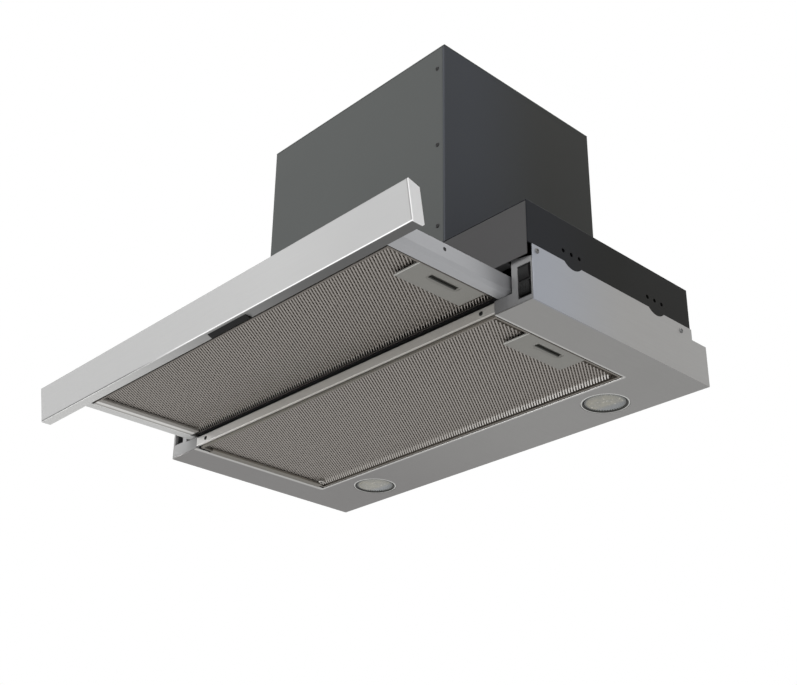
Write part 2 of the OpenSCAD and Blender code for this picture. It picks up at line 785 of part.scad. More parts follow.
function blade_point(k, side) = let (
    t = k / 4, r = wheel_r - blade_inner + (blade_inner - ring_t / 3) * t,
    a = blade_lead * sin(90 * t) + side * blade_half_turn / r
) [r * cos(a), r * sin(a)];
module impeller() color("#2f3f57") hood_frame() translate([blower_x, blower_y, blower_z]) difference() {
    union() {
        along_x(-wheel_w / 2, wheel_w / 2) for (n = [0 : blade_count - 1]) rotate(360 * n / blade_count)
            polygon(concat([for (k = [0 : 4]) blade_point(k, 1)], [for (k = [4 : -1 : 0])
                blade_point(k, -1)]));
        rod_x(-disc_t / 2, disc_t / 2, wheel_r - ring_t / 4, round_fn);
        for (x = [-wheel_w / 2, wheel_w / 2 - ring_w]) difference() {
            rod_x(x, x + ring_w, wheel_r, round_fn);
            rod_x(x - overrun, x + ring_w + overrun, wheel_r - ring_t, round_fn);
        }
        rod_x(-disc_t / 2, hub_l, hub_r);
    }
    rod_x(-overrun, hub_l + overrun, shaft_r + shaft_fit);
}
motor_back = -scroll_w / 2 - scroll_wall - mount_l;
motor_gap = 4.2;
motor_front = -disc_t / 2 - motor_gap;
motor_nose_share = 0.5;
motor_dome_share = 0.86;
motor_band_share = 0.94;
motor_boss_share = 0.25;
motor_dome_l = 8;
motor_band_l = 14;
motor_ring_l = 22;
motor_end_l = 7;
motor_boss_l = 1.5;
module motor_shaft() color("silver") hood_frame() translate([blower_x, blower_y, blower_z])
    rod_x(motor_back + shaft_out, hub_l + shaft_out / 2, shaft_r);
module motor() color("#8a8d8f") hood_frame() translate([blower_x, blower_y, blower_z]) difference() {
    rotate([0, 90, 0]) rotate_extrude($fn = round_fn) polygon([
        [0, motor_back + seat_gap], [motor_r * motor_nose_share, motor_back + seat_gap],
        [motor_r * motor_dome_share, motor_back + motor_dome_l],
        [motor_r * motor_band_share, motor_back + motor_band_l],
        [motor_r * motor_band_share, motor_back + motor_ring_l], [motor_r, motor_back + motor_ring_l],
        [motor_r, motor_front - motor_band_l], [motor_r * motor_band_share, motor_front - motor_band_l],
        [motor_r * motor_dome_share, motor_front - motor_end_l],
        [motor_r * motor_nose_share, motor_front - motor_boss_l],
        [motor_r * motor_boss_share, motor_front - motor_boss_l], [motor_r * motor_boss_share,
            motor_front],
        [0, motor_front]
    ]);
    rod_x(motor_back + shaft_out - overrun, motor_front + overrun, shaft_r + shaft_fit);
}
module motor_bracket() color("silver") hood_frame() translate([blower_x, blower_y, blower_z])
    difference() {
    union() {
        rod_x(motor_back - bracket_t, motor_back, bracket_hub, round_fn);
        for (a = [0 : 120 : 240]) rotate([a, 0, 0])
            span([motor_back - bracket_t, -bracket_arm / 2, 0], [motor_back, bracket_arm / 2,
                mount_ring + mount_r]);
    }
    rod_x(motor_back - bracket_t - overrun, motor_back + overrun, bracket_hub / 3);
    for (a = [0 : 120 : 240]) rotate([a, 0, 0]) translate([0, 0, mount_ring])
        rod_x(motor_back - bracket_t - overrun, motor_back + overrun, bar_hole_r);
}
module rubber_mounts() color("#222222") hood_frame() translate([blower_x, blower_y, blower_z])
    for (a = [0 : 120 : 240]) rotate([a, 0, 0]) translate([0, 0, mount_ring]) rotate([0, 90, 0])
        rotate_extrude($fn = bore_fn) polygon([
            [bar_hole_r, motor_back + seat_gap], [mount_r, motor_back + seat_gap], [mount_r,
                motor_back + mount_l / 4],
            [mount_waist, motor_back + mount_l / 2], [mount_r, motor_back + mount_l * 3 / 4],
            [mount_r, motor_back + mount_l - seat_gap], [bar_hole_r, motor_back + mount_l - seat_gap]
        ]);
module capacitor() color("#e6e6e0") hood_frame()
    translate([housing_r - sheet - lip_clear - cap_r, (housing_y + housing_b) / 2,
        chassis_h + cap_lift]) {
        cylinder(r = cap_r, h = cap_h, $fn = round_fn);
        for (side = [-1, 1]) on_y(side) translate([0, cap_r / 2, cap_h])
            span([-blade_w / 2, -blade_t / 2, 0], [blade_w / 2, blade_t / 2, blade_l]);
    }

// Terminal box, its cover and the gland for the supply lead
module terminal_box() color("#303030") hood_frame() translate([term_x, term_y, chassis_h + seat_gap])
    difference() {
    cube([term_w, term_d, term_h]);
    span([term_wall, term_wall, term_wall], [term_w - term_wall, term_d - term_wall, term_h + overrun]);
    translate([0, term_d / 2, gland_z - chassis_h]) rod_x(-overrun, term_wall + overrun,
        gland_r + screw_fit);
}
module terminal_cover() color("#303030") hood_frame()
    translate([term_x, term_y, chassis_h + seat_gap + term_h + seat_gap]) {
        cube([term_w, term_d, cover_t]);
        difference() {
            span([term_wall + seat_gap, term_wall + seat_gap, -cover_skirt],
                 [term_w - term_wall - seat_gap, term_d - term_wall - seat_gap, 0]);
            span([2 * term_wall, 2 * term_wall, -cover_skirt - overrun],
                 [term_w - 2 * term_wall, term_d - 2 * term_wall, 0]);
        }
    }
module cable_gland() color("#1c1c1c") hood_frame()
    translate([term_x, term_y + term_d / 2, gland_z + seat_gap]) difference() {
        union() {
            rod_x(-gland_l, gland_nut_t + term_wall, gland_r);
            rod_x(-gland_nut_t, 0, gland_nut, 6);
            rod_x(term_wall + seat_gap, term_wall + gland_nut_t, gland_nut, 6);
        }
        rod_x(-gland_l - overrun, gland_nut_t + term_wall + overrun, gland_bore);
    }

// Lamps: cup over the pan, bezel through its hole, pressed glass
module lamp_at(side) on_side(side) translate([lamp_span / 2, lamp_y, 0]) children();
module lamp_cup(side) lamp_at(side) rotate_extrude($fn = round_fn) polygon([
    [lamp_r + 2 * lamp_fit, pan_floor], [lamp_r + cup_flange, pan_floor], [lamp_r + cup_flange,
        pan_floor + cup_t],
    [lamp_r + 2 * lamp_fit + cup_t, pan_floor + cup_t], [lamp_r + 2 * lamp_fit + cup_t, lamp_rise],
    [lamp_r - lamp_lip / 2, cup_h], [0, cup_h], [0, cup_h - cup_t], [lamp_r - lamp_lip / 2 - cup_t / 2,
        cup_h - cup_t],
    [lamp_r + 2 * lamp_fit, lamp_rise - cup_t / 2]
]);
module lamp_bezel(side) lamp_at(side) rotate_extrude($fn = round_fn) polygon([
    [lamp_r - lamp_lip, bezel_lift + glass_z / 2], [lamp_r - lamp_lip + lamp_barrel, bezel_lift],
    [lamp_r - lamp_fit, bezel_lift], [lamp_r, bezel_lift + sheet / 2], [lamp_r, lamp_rise],
    [lamp_r - lamp_barrel, lamp_rise], [lamp_r - lamp_barrel, glass_z - seat_gap], [lamp_r - lamp_lip,
        glass_z - seat_gap]
]);
module lamp_glass(side) lamp_at(side) translate([0, 0, glass_z])
    cylinder(r = lamp_r - lamp_barrel - seat_gap, h = glass_t, $fn = round_fn);
module lamp_cup_left() color("silver") hood_frame() lamp_cup(-1);
module lamp_cup_right() color("silver") hood_frame() lamp_cup(1);
module lamp_bezel_left() color("gainsboro") hood_frame() lamp_bezel(-1);
module lamp_bezel_right() color("gainsboro") hood_frame() lamp_bezel(1);
module lamp_glass_left() color("lightcyan") hood_frame() lamp_glass(-1);
module lamp_glass_right() color("lightcyan") hood_frame() lamp_glass(1);

// Filters: a channel frame with hinge tabs, pleated mesh, latch plate, slider.
// f holds a filter's left, right, front and back; z is its lower face.
module latch_field(f, ly, grow) span(
    [f[1] - filter_wall - latch_w - grow, ly - latch_l / 2 - grow, -overrun],
    [f[1] - filter_wall - seat_gap + grow, ly + latch_l / 2 + grow, latch_rail_h + plate_t]);
module filter_frame(f, z, ly) translate([0, 0, z]) {
    difference() {
        span([f[0], f[2], 0], [f[1], f[3], filter_t]);
        span([f[0] + filter_wall, f[2] + filter_wall, filter_wall],
             [f[1] - filter_wall, f[3] - filter_wall, filter_t - filter_wall]);
        span([f[0] + border_low, f[2] + border_low, -overrun], [f[1] - border_low, f[3] - border_low,
            filter_t / 2]);
        span([f[0] + border_top, f[2] + border_top, filter_t / 2],
             [f[1] - border_top, f[3] - border_top, filter_t + overrun]);
        latch_field(f, ly, seat_gap);
        span([f[1] - filter_wall - overrun, ly - bolt_half - run_gap, lip_h - recess],
             [f[1] + overrun, ly + bolt_half + run_gap, lip_h - recess + lip_clear + bolt_t + run_gap]);
    }
    for (y = [f[2] + tab_inset, f[3] - tab_inset - tab_y_w])
        span([f[0] - hinge_gap - tab_reach, y, lip_h - recess + lip_clear],
             [f[0], y + tab_y_w, lip_h - recess + lip_clear + tab_t]);
}
module filter_mesh(f, z, ly) translate([0, 0, z]) {
    x0 = f[0] + filter_wall + mesh_fit;
    x1 = f[1] - filter_wall - mesh_fit;
    folds = floor((x1 - x0) / fold_pitch);
    step = (x1 - x0) / (2 * folds);
    difference() {
        along_y(f[2] + filter_wall + mesh_fit, f[3] - filter_wall - mesh_fit) polygon(concat(
            [for (k = [0 : 2 * folds]) [x0 + k * step, mesh_rise + (k % 2) * fold_h]],
            [for (k = [2 * folds : -1 : 0]) [x0 + k * step, mesh_rise + mesh_t + (k % 2) * fold_h]]));
        latch_field(f, ly, mesh_fit);
    }
}
module latch_plate(f, z, ly) translate([0, 0, z]) {
    x0 = f[1] - filter_wall - latch_w;
    x1 = f[1] - filter_wall - seat_gap;
    slot_x = x1 - latch_slot_in;
    difference() {
        span([x0, ly - latch_l / 2, 0], [x1, ly + latch_l / 2, plate_t]);
        span([slot_x - latch_slot_w, ly - latch_slot_l / 2, -overrun], [slot_x, ly + latch_slot_l / 2,
            plate_t + overrun]);
        translate([slot_x - latch_slot_w / 2, 0, -finger_r + plate_t / 2])
            rod_y(ly - latch_slot_l / 2 - overrun, ly + latch_slot_l / 2 + overrun, finger_r);
    }
    for (side = [-1, 1]) span(
        [x0 + seat_gap, ly + side * (slider_half + seat_gap + latch_rail_t / 2) - latch_rail_t / 2,
            plate_t],
        [x1, ly + side * (slider_half + seat_gap + latch_rail_t / 2) + latch_rail_t / 2, latch_rail_h]);
}
module latch_slider(f, z, ly, lip_x) translate([0, 0, z]) {
    x1 = f[1] - filter_wall - 2 * run_gap - bolt_throw;
    slot_x = f[1] - filter_wall - seat_gap - latch_slot_in;
    low = plate_t + seat_gap;
    span([x1 - slider_l, ly - slider_half, low], [x1, ly + slider_half, low + slider_t]);
    span([slot_x - latch_slot_w + seat_gap, ly - latch_slot_l / 2 + run_gap, 0],
         [slot_x - latch_slot_w + seat_gap + ledge_w, ly + latch_slot_l / 2 - run_gap, low]);
    span([x1, ly - bolt_half, lip_h - recess + lip_clear],
         [lip_x - lip_clear, ly + bolt_half, lip_h - recess + lip_clear + bolt_t]);
}
module rear_filter_frame() color("darkgray") hood_frame() filter_frame(rear_filter, rear_filter_z,
    rear_latch_y);
module rear_filter_mesh() color("#8b8478") hood_frame() filter_mesh(rear_filter, rear_filter_z,
    rear_latch_y);
module rear_latch_plate() color("#89897f") hood_frame() latch_plate(rear_filter, rear_filter_z,
    rear_latch_y);
module rear_latch_slider() color("#55554f") hood_frame()
    latch_slider(rear_filter, rear_filter_z, rear_latch_y, rear_lip_x);
module front_filter_frame() color("darkgray") hood_frame() filter_frame(front_filter, front_filter_z,
    front_latch_y);
module front_filter_mesh() color("#8b8478") hood_frame() filter_mesh(front_filter, front_filter_z,
    front_latch_y);
module front_latch_plate() color("#89897f") hood_frame() latch_plate(front_filter, front_filter_z,
    front_latch_y);
module front_latch_slider() color("#55554f") hood_frame()
    latch_slider(front_filter, front_filter_z, front_latch_y, front_lip_x);

// Drawer: two open rails, tray over the filter, bars, shoes and screws
module rail_section() polygon([
    [rail_in, rail_z], [rail_out - rail_bevel, rail_z], [rail_out, rail_z + rail_bevel], [rail_out,
        rail_top],
    [rail_in, rail_top], [rail_in, rail_top - rail_upper_lip], [rail_in + rail_wall,
        rail_top - rail_upper_lip],
    [rail_in + rail_wall, rail_top - rail_wall], [rail_out - rail_wall, rail_top - rail_wall],
    [rail_out - rail_wall, rail_z + rail_bevel + rail_wall / 2],
        [rail_out - rail_bevel - rail_wall / 2, rail_z + rail_wall],
    [rail_in + rail_wall, rail_z + rail_wall], [rail_in + rail_wall, rail_z + rail_lip], [rail_in,
        rail_z + rail_lip]
]);
module ahead_of_facade() along_x(-half_w, half_w) polygon([
    [facade_back_y(0) + seat_gap, 0], [facade_back_y(chassis_h) + seat_gap, chassis_h],
    [-drawer_out - chassis_h, chassis_h], [-drawer_out - chassis_h, 0]
]);
module drawer_rail(side) on_side(side) difference() {
    along_y(facade_back_y(chassis_h), rail_back) rail_section();
    ahead_of_facade();
    translate([0, rail_screw_y, rail_screw_z])
        rod_x(rail_out - rail_wall - overrun, rail_out + overrun, rail_screw_r + screw_fit);
}
module drawer_rail_left() color("#9e9fa3") hood_frame() drawer_rail(-1);
module drawer_rail_right() color("#9e9fa3") hood_frame() drawer_rail(1);
module rail_shoes() color("#e8e8e0") hood_frame() for (side = [-1, 1]) on_side(side) {
    span([rail_in + rail_wall + shoe_fit, rail_back - shoe_l + shoe_out,
        rail_z + rail_bevel + rail_wall / 2 + shoe_fit],
         [rail_out - rail_wall - shoe_fit, rail_back + shoe_out, rail_top - rail_wall - shoe_fit]);
}
module rail_screws() color("#333333") hood_frame() for (side = [-1, 1]) on_side(side)
    translate([0, rail_screw_y, rail_screw_z]) rod_x(rail_out - 2 * rail_wall, rail_out - seat_gap,
        rail_screw_r);
module drawer_tray() color("#a5a6a8") hood_frame() {
    reach = rail_in - seat_gap;
    top = rail_top - seat_gap;
    front = facade_back_y(rail_top) + tray_front_gap;
    back = rear_bar_y + rear_bar_d;
    span([-reach, front, top - tray_t], [reach, back, top]);
    for (side = [-1, 1]) on_side(side) span([reach - tray_t, front, rail_top - rail_upper_lip], [reach,
        back, top]);
}
module drawer_rear_bar() color("#a5a6a8") hood_frame() {
    reach = rail_in - tray_t - 2 * seat_gap;
    low = rail_z + rail_lip;
    high = rail_top - tray_t - 2 * seat_gap;
    span([-reach, rear_bar_y, low], [reach, rear_bar_y + tray_t, high]);
    span([-reach, rear_bar_y, high - tray_t], [reach, rear_bar_y + rear_bar_d, high]);
    span([-reach, rear_bar_y, low], [reach, rear_bar_y + rear_bar_d, low + tray_t]);
}
function facade_back_y(z) = -drawer_out - facade_lean * (z - facade_z) / facade_h;
module drawer_front_bar() color("#5a5a5a") hood_frame() {
    low = bar_front_z;
    high = rail_top - tray_t - 2 * seat_gap;
    reach = rail_in - tray_t - 2 * seat_gap;
    along_x(-reach, reach) polygon([
        [facade_back_y(low) + seat_gap, low], [-drawer_out + bar_front_d, low],
            [-drawer_out + bar_front_d, low + tray_t],
        [facade_back_y(low) + seat_gap + tray_t, low + tray_t], [facade_back_y(high)
            + seat_gap + tray_t, high - tray_t],
        [-drawer_out + bar_front_d, high - tray_t], [-drawer_out + bar_front_d, high],
        [facade_back_y(high) + seat_gap, high]
    ]);
}

// Facade: folded steel skin over a backing channel, with a finger tab below
module facade_section(w) polygon([
    [-drawer_out - facade_t + w, facade_z + w],
    [-drawer_out - foot_bend - w * bend_share, facade_z + w],
    [-drawer_out - w, facade_z + foot_bend + w * bend_share],
    [facade_back_y(facade_z + facade_back_h) - w, facade_z + facade_back_h - w],
    [-drawer_out - facade_t - facade_lean + w, facade_z + facade_h - w]
]);
module facade() color("#c8c8c8") hood_frame() difference() {
    along_x(-facade_w / 2, facade_w / 2) facade_section(0);
    along_x(-facade_w / 2 + skin, facade_w / 2 - skin) facade_section(skin);
    along_x(-facade_w / 2 + skin, facade_w / 2 - skin) polygon([
        [-drawer_out - facade_t / 2, facade_z + skin], [overrun, facade_z + skin],
        [overrun, facade_z + facade_back_h - skin],
        [facade_back_y(facade_z + facade_back_h) - facade_t / 2, facade_z + facade_back_h - skin]
    ]);
}
module facade_core() color("#7f8083") hood_frame() difference() {
    along_x(-facade_w / 2 + skin + seat_gap, facade_w / 2 - skin - seat_gap) core_section(0);
    along_x(-facade_w / 2 - overrun, facade_w / 2 + overrun) core_section(core_t);
}
module core_section(w) polygon([
    [-drawer_out - facade_t + skin + seat_gap + w, facade_z + skin + seat_gap + w],
    [-drawer_out - foot_bend - w, facade_z + skin + seat_gap + w],
    [-drawer_out - w, facade_z + skin + seat_gap + foot_bend + w],
    [facade_back_y(facade_z + facade_back_h) - w, facade_z + facade_back_h - skin - 3 * seat_gap - w],
    [-drawer_out - facade_t - facade_lean + skin + seat_gap + w,
        facade_z + facade_h - skin - seat_gap - w - core_t / 4]
]);
module pull_tab() color("#161616") hood_frame() translate([0, -drawer_out - facade_t + tab_in, 0]) {
    top = facade_z - seat_gap;
    along_x(tab_x - tab_w / 2, tab_x + tab_w / 2) polygon([
        [0, top], [tab_fall, top - tab_h], [tab_fall + tab_flat, top - tab_h], [tab_d, top]
    ]);
}

lower_pan();
pan_screws();
cross_bar();
bar_screws();
end_cap_left();
end_cap_right();
switch_block();
light_rocker();
fan_rocker();
chassis_shell();
chassis_front();
guide_left();
guide_right();
housing_front_wrap();
housing_rear_wrap();
housing_top();
housing_screws();
outlet_spigot();
spigot_screws();
flap_pin();
flap_front();
flap_rear();
scroll_left();
scroll_right();
impeller();
motor_shaft();
motor();
motor_bracket();
rubber_mounts();
capacitor();
terminal_box();
terminal_cover();
cable_gland();
lamp_cup_left();
lamp_cup_right();
lamp_bezel_left();
lamp_bezel_right();
lamp_glass_left();
lamp_glass_right();
rear_filter_frame();
rear_filter_mesh();
rear_latch_plate();
rear_latch_slider();
drawer_rail_left();
drawer_rail_right();
rail_shoes();
rail_screws();
drawer_tray();
drawer_rear_bar();
drawer_front_bar();
facade();
facade_core();
pull_tab();
front_filter_frame();
front_filter_mesh();
front_latch_plate();
front_latch_slider();
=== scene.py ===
import math

import bmesh
import bpy
from mathutils import Euler, Matrix, Vector


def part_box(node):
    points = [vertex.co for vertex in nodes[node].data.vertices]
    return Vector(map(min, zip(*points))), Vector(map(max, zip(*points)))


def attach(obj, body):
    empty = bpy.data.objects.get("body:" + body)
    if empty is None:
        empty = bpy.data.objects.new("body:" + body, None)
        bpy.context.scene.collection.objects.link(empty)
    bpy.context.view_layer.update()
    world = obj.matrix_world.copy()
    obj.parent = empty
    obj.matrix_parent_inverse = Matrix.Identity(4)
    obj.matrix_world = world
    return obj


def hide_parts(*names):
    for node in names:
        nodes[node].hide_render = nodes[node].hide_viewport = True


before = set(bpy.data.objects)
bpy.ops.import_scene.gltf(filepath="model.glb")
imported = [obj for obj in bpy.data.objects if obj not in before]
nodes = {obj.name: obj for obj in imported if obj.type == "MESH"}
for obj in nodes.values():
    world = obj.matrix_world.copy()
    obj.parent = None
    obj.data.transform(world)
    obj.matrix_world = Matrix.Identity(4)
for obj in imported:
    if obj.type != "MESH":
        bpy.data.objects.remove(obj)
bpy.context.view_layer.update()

scene = bpy.context.scene

# The cook's view: the hood hangs over the hob, so it is seen from below and
# from its switch side, with the drawer drawn out over the cook's head.
eye = bpy.data.cameras.new("cook_eye")
eye.lens, eye.sensor_width = 57.96, 36.0
eye.shift_y, eye.clip_end = 0.01215, 30.0
cook = bpy.data.objects.new("cook_eye", eye)
cook.location = (0.94372, -0.83692, -0.5498)
cook.rotation_euler = Euler([math.radians(turn) for turn in (115.8821, -0.6242, 46.5038)])
scene.collection.objects.link(cook)
scene.camera = cook
scene.view_settings.view_transform = "Standard"


# The pan: one sheet of satin steel, cut out for the fixed filter and the two
# lamps, its sides folded up round the chassis and its rear step folded down
# behind it. The bends are about 1 mm round and catch the light.
class Value:
    def __init__(self, shading, socket):
        self.shading, self.socket = shading, socket

    def calc(self, how, a, b=None):
        return self.shading.node("ShaderNodeMath", {"operation": how}, {0: a, 1: b})

    def __add__(self, other): return self.calc("ADD", self, other)
    def __radd__(self, other): return self.calc("ADD", other, self)
    def __sub__(self, other): return self.calc("SUBTRACT", self, other)
    def __rsub__(self, other): return self.calc("SUBTRACT", other, self)
    def __mul__(self, other): return self.calc("MULTIPLY", self, other)
    def __rmul__(self, other): return self.calc("MULTIPLY", other, self)
    def __pow__(self, other): return self.calc("POWER", self, other)

    def band(self, none, full):
        return self.shading.node("ShaderNodeMapRange", {"interpolation_type": "SMOOTHSTEP"},
                                 {0: self, 1: none, 2: full, 3: 0.0, 4: 1.0})

    def within(self, before, start, end, after):
        return self.band(before, start) * self.band(after, end)


class Shading:
    def __init__(self, tree):
        self.tree = tree
        tree.nodes.clear()

    def feed(self, node, values):
        for key, value in values.items():
            socket = node.inputs[key]
            if isinstance(value, Value):
                self.tree.links.new(value.socket, socket)
            elif value is not None:
                socket.default_value = (*value, 1.0) if socket.type == "RGBA" else value

    def node(self, kind, settings, values, out=0):
        made = self.tree.nodes.new(kind)
        for key, value in settings.items():
            setattr(made, key, value)
        self.feed(made, values)
        return Value(self, made.outputs[out]) if made.outputs else made


class Finish(Shading):
    def __init__(self, name, color, metallic=0.0, roughness=0.5, **fixed):
        self.material = bpy.data.materials.new(name)
        self.material.use_nodes = True
        self.material.diffuse_color = (*color, 1.0)
        super().__init__(self.material.node_tree)
        self.color = color
        self.coat = self.node("ShaderNodeBsdfPrincipled", {}, {})
        self.surface = self.node("ShaderNodeOutputMaterial", {}, {0: self.coat})
        self.place = self.node("ShaderNodeTexCoord", {}, {}, "Object")
        self.give(Base_Color=color, Metallic=metallic, Roughness=roughness, **fixed)

    def give(self, **values):
        self.feed(self.coat.socket.node, {key.replace("_", " "): value for key, value in values.items()})
        return self

    def axis(self, letter):
        return self.node("ShaderNodeSeparateXYZ", {}, {0: self.place}, letter)

    def far_from(self, x, y):
        aside, along = self.axis("X") - x, self.axis("Y") - y
        return (aside * aside + along * along) ** 0.5

    def noise(self, scale, detail=2.0, along=""):
        stretch = tuple(0.02 if letter in along else 1.0 for letter in "XYZ")
        at = self.node("ShaderNodeMapping", {}, {"Vector": self.place, "Scale": stretch})
        return self.node("ShaderNodeTexNoise", {}, {"Vector": at, "Scale": scale, "Detail": detail})

    def mix(self, share, a, b):
        return self.node("ShaderNodeMix", {"data_type": "RGBA"}, {0: share, 6: a, 7: b}, 2)

    def shade(self, share, factor):
        return self.mix(share, self.color, tuple(part * factor for part in self.color))

    def bump(self, height, distance, strength=0.5):
        return self.give(Normal=self.node("ShaderNodeBump", {}, {
            "Height": height, "Distance": distance, "Strength": strength}))


def rolled(name, color, roughness, along, metallic=1.0, tint=None):
    finish = Finish(name, color, metallic, roughness)
    finish.line, finish.cloud = finish.noise(1400.0, 2.0, along), finish.noise(9.0, 3.0)
    if tint:
        finish.give(Base_Color=tint(finish))
    else:
        specks = finish.noise(260.0, 2.0) * 0.12
        finish.give(Base_Color=finish.shade(finish.line * 0.25 + finish.cloud * 0.25 + specks, 0.84))
    finish.give(Roughness=roughness - 0.07 + finish.line * 0.1 + finish.cloud * 0.06)
    return finish.bump(finish.line, 0.00002, 0.3)


def merged(name):
    shape = bmesh.new()
    shape.from_mesh(nodes[name].data)
    bmesh.ops.remove_doubles(shape, verts=shape.verts, dist=0.00001)
    bmesh.ops.dissolve_limit(shape, angle_limit=0.01, verts=shape.verts, edges=shape.edges)
    return shape


def soften(shape, width, segments=2, shortest=0.02, pick=lambda a, b: True):
    sharp = math.radians(28)
    edges = [edge for edge in shape.edges if len(edge.link_faces) == 2 and edge.is_convex
             and edge.calc_face_angle(0) > sharp and edge.calc_length() > shortest
             and pick(*(vert.co for vert in edge.verts))]
    bmesh.ops.bevel(shape, geom=edges, offset=width, offset_type="OFFSET", segments=segments,
                    profile=0.5, affect="EDGES", clamp_overlap=True, material=-1)
    return shape


def piece(name, shape, finish, body, slot, *stands_for, crease=40, evened=True):
    data = bpy.data.meshes.new(name)
    shape.normal_update()
    shape.to_mesh(data)
    shape.free()
    data.polygons.foreach_set("use_smooth", [True] * len(data.polygons))
    data.set_sharp_from_angle(angle=math.radians(crease))
    data.materials.append(finish.material)
    made = bpy.data.objects.new(name, data)
    scene.collection.objects.link(made)
    if evened:
        made.modifiers.new("even_normals", "WEIGHTED_NORMAL").keep_sharp = True
    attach(made, body)
    if stands_for:
        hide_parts(*stands_for)


def dress(finish, *names):
    for name in names:
        for slot in nodes[name].material_slots:
            slot.material = finish.material


filter_low, filter_high = (Vector(corner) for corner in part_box("rear_filter_frame"))
beside_filter, opening_r, bend_r = 0.012, 0.0014, 0.0009
# Steel tones: the plain sheet, painted shade for its left end, a painted cool reflection for the front of the
# switch side's flank, and a painted highlight for the opening's edges.
satin_steel, shaded_steel, flank_cool_reflection = (0.355, 0.35, 0.342), (0.285, 0.277, 0.272), (0.335, 0.35, 0.385)
edge_highlight = (0.56, 0.555, 0.54)
left_edge, right_edge = (-0.2408, -0.2392, -0.2355, -0.2345), (0.2352, 0.2357, 0.2384, 0.2392)
rear_edge, rear_span = (0.1424, 0.1428, 0.1443, 0.1448), (-0.2395, -0.2385, 0.2369, 0.2374)


def round_opening(a, b):
    return (max(a.z, b.z) < 0.0005 and max(abs(a.x), abs(b.x)) < filter_high.x + beside_filter
            and max(a.y, b.y) < filter_high.y + beside_filter)


def round_pan(a, b):
    return min(a.z, b.z) < 0.0005 or abs(a.z - b.z) > 0.03


# Painted light: a painted highlight along the filter opening's side and rear edges, painted shade towards the
# left end, and a painted cool reflection on the front of the switch side's flank.
def pan_tint(steel):
    across, along = steel.axis("X"), steel.axis("Y")
    sides = across.within(*left_edge) + across.within(*right_edge)
    rear = across.within(*rear_span) * along.within(*rear_edge)
    plain = steel.shade(steel.line * 0.25 + steel.cloud * 0.25, 0.84)
    plain = steel.mix(across.band(0.08, -0.18), plain, shaded_steel)
    plain = steel.mix(across.band(0.282, 0.284) * along.band(0.1, -0.05), plain, flank_cool_reflection)
    return steel.mix(sides * along.band(0.1438, 0.1428) + rear, plain, edge_highlight)


pan_finish = rolled("satin_pan_sheet", satin_steel, 0.42, "Y", metallic=0.9, tint=pan_tint)
pan_sheet = soften(merged("lower_pan"), opening_r, segments=4, shortest=0.03, pick=round_opening)
pan_sheet = soften(pan_sheet, bend_r, segments=3, shortest=0.03, pick=round_pan)
piece("pan_sheet", pan_sheet, pan_finish, "hood", "pan_steel", "lower_pan")


# The screws: bright zinc in the pan and the spigot, blackened in the blower's
# box, the bar and the rails. Each has a low domed head with a cross recess,
# pressed in one blow, over a plain shank that goes into the sheet.
def loose_solids(name):
    shape = merged(name)
    found, left = [], set(shape.verts)
    while left:
        group, grow = set(), [left.pop()]
        while grow:
            vert = grow.pop()
            group.add(vert)
            near = {edge.other_vert(vert) for edge in vert.link_edges} & left
            left -= near
            grow.extend(near)
        found.append([Vector([pick(vert.co[k] for vert in group) for k in range(3)]) for pick in (min, max)])
    shape.free()
    return sorted(found, key=lambda ends: tuple(ends[0]))


def free_edges(shape):
    return [edge for edge in shape.edges if edge.is_boundary]


def drawn_out(shape, edges):
    return [part for part in bmesh.ops.extrude_edge_only(shape, edges=edges)["geom"]
            if isinstance(part, bmesh.types.BMVert)]


crown_share, shoulder_share, shoulder_up = 0.7, 0.93, 0.45
arm_share, half_share, pit_taper, pit_depth = 0.55, 0.13, 0.7, 0.55


def cross_screw(at, out, radius, height, shank_r, shank_l):
    arm, half = radius * arm_share, radius * half_share
    corner = [Vector((half, arm)), Vector((half, half)), Vector((arm, half))]
    screw = bmesh.new()
    top = bmesh.ops.create_circle(screw, segments=24, radius=radius * crown_share)["verts"]
    bmesh.ops.translate(screw, verts=top, vec=(0, 0, height))
    recess = [screw.verts.new((*(Matrix.Rotation(-math.pi / 2 * k, 2) @ point), height))
              for k in range(4) for point in corner]
    outline = [screw.edges.new((recess[k], recess[k - 1])) for k in range(len(recess))]
    bmesh.ops.triangle_fill(screw, use_beauty=True, use_dissolve=False, edges=list(screw.edges))
    pit = drawn_out(screw, outline)
    bmesh.ops.scale(screw, verts=pit, vec=(pit_taper, pit_taper, 1.0))
    bmesh.ops.translate(screw, verts=pit, vec=(0, 0, -height * pit_depth))
    bmesh.ops.contextual_create(screw, geom=[edge for edge in screw.edges
                                             if all(vert in pit for vert in edge.verts)])
    shank_share = shank_r / radius
    for out_share, up_share in ((shoulder_share, shoulder_up), (1.0, 0.0), (shank_share, 0.0),
                                (shank_share, -shank_l / height)):
        for vert in drawn_out(screw, free_edges(screw)):
            vert.co.xy = vert.co.xy.normalized() * radius * out_share
            vert.co.z = height * up_share
    bmesh.ops.contextual_create(screw, geom=free_edges(screw))
    bmesh.ops.recalc_face_normals(screw, faces=screw.faces)
    turn = Vector((0, 0, 1)).rotation_difference(out).to_matrix().to_4x4()
    bmesh.ops.transform(screw, matrix=Matrix.Translation(at) @ turn, verts=screw.verts)
    return screw


def cross_screws(name, node, finish, slot, outward, sunk, height, radius, shank_r):
    heads = bmesh.new()
    for low, high in loose_solids(node):
        middle = (low + high) / 2
        out = Vector(outward(middle))
        length = abs((high - low).dot(out))
        at = middle + out * (length / 2 - sunk)
        screw = cross_screw(at, out, radius, height, shank_r, length - sunk)
        data = bpy.data.meshes.new("one_screw")
        screw.to_mesh(data)
        screw.free()
        heads.from_mesh(data)
        bpy.data.meshes.remove(data)
    piece(name, heads, finish, "hood", slot, node)


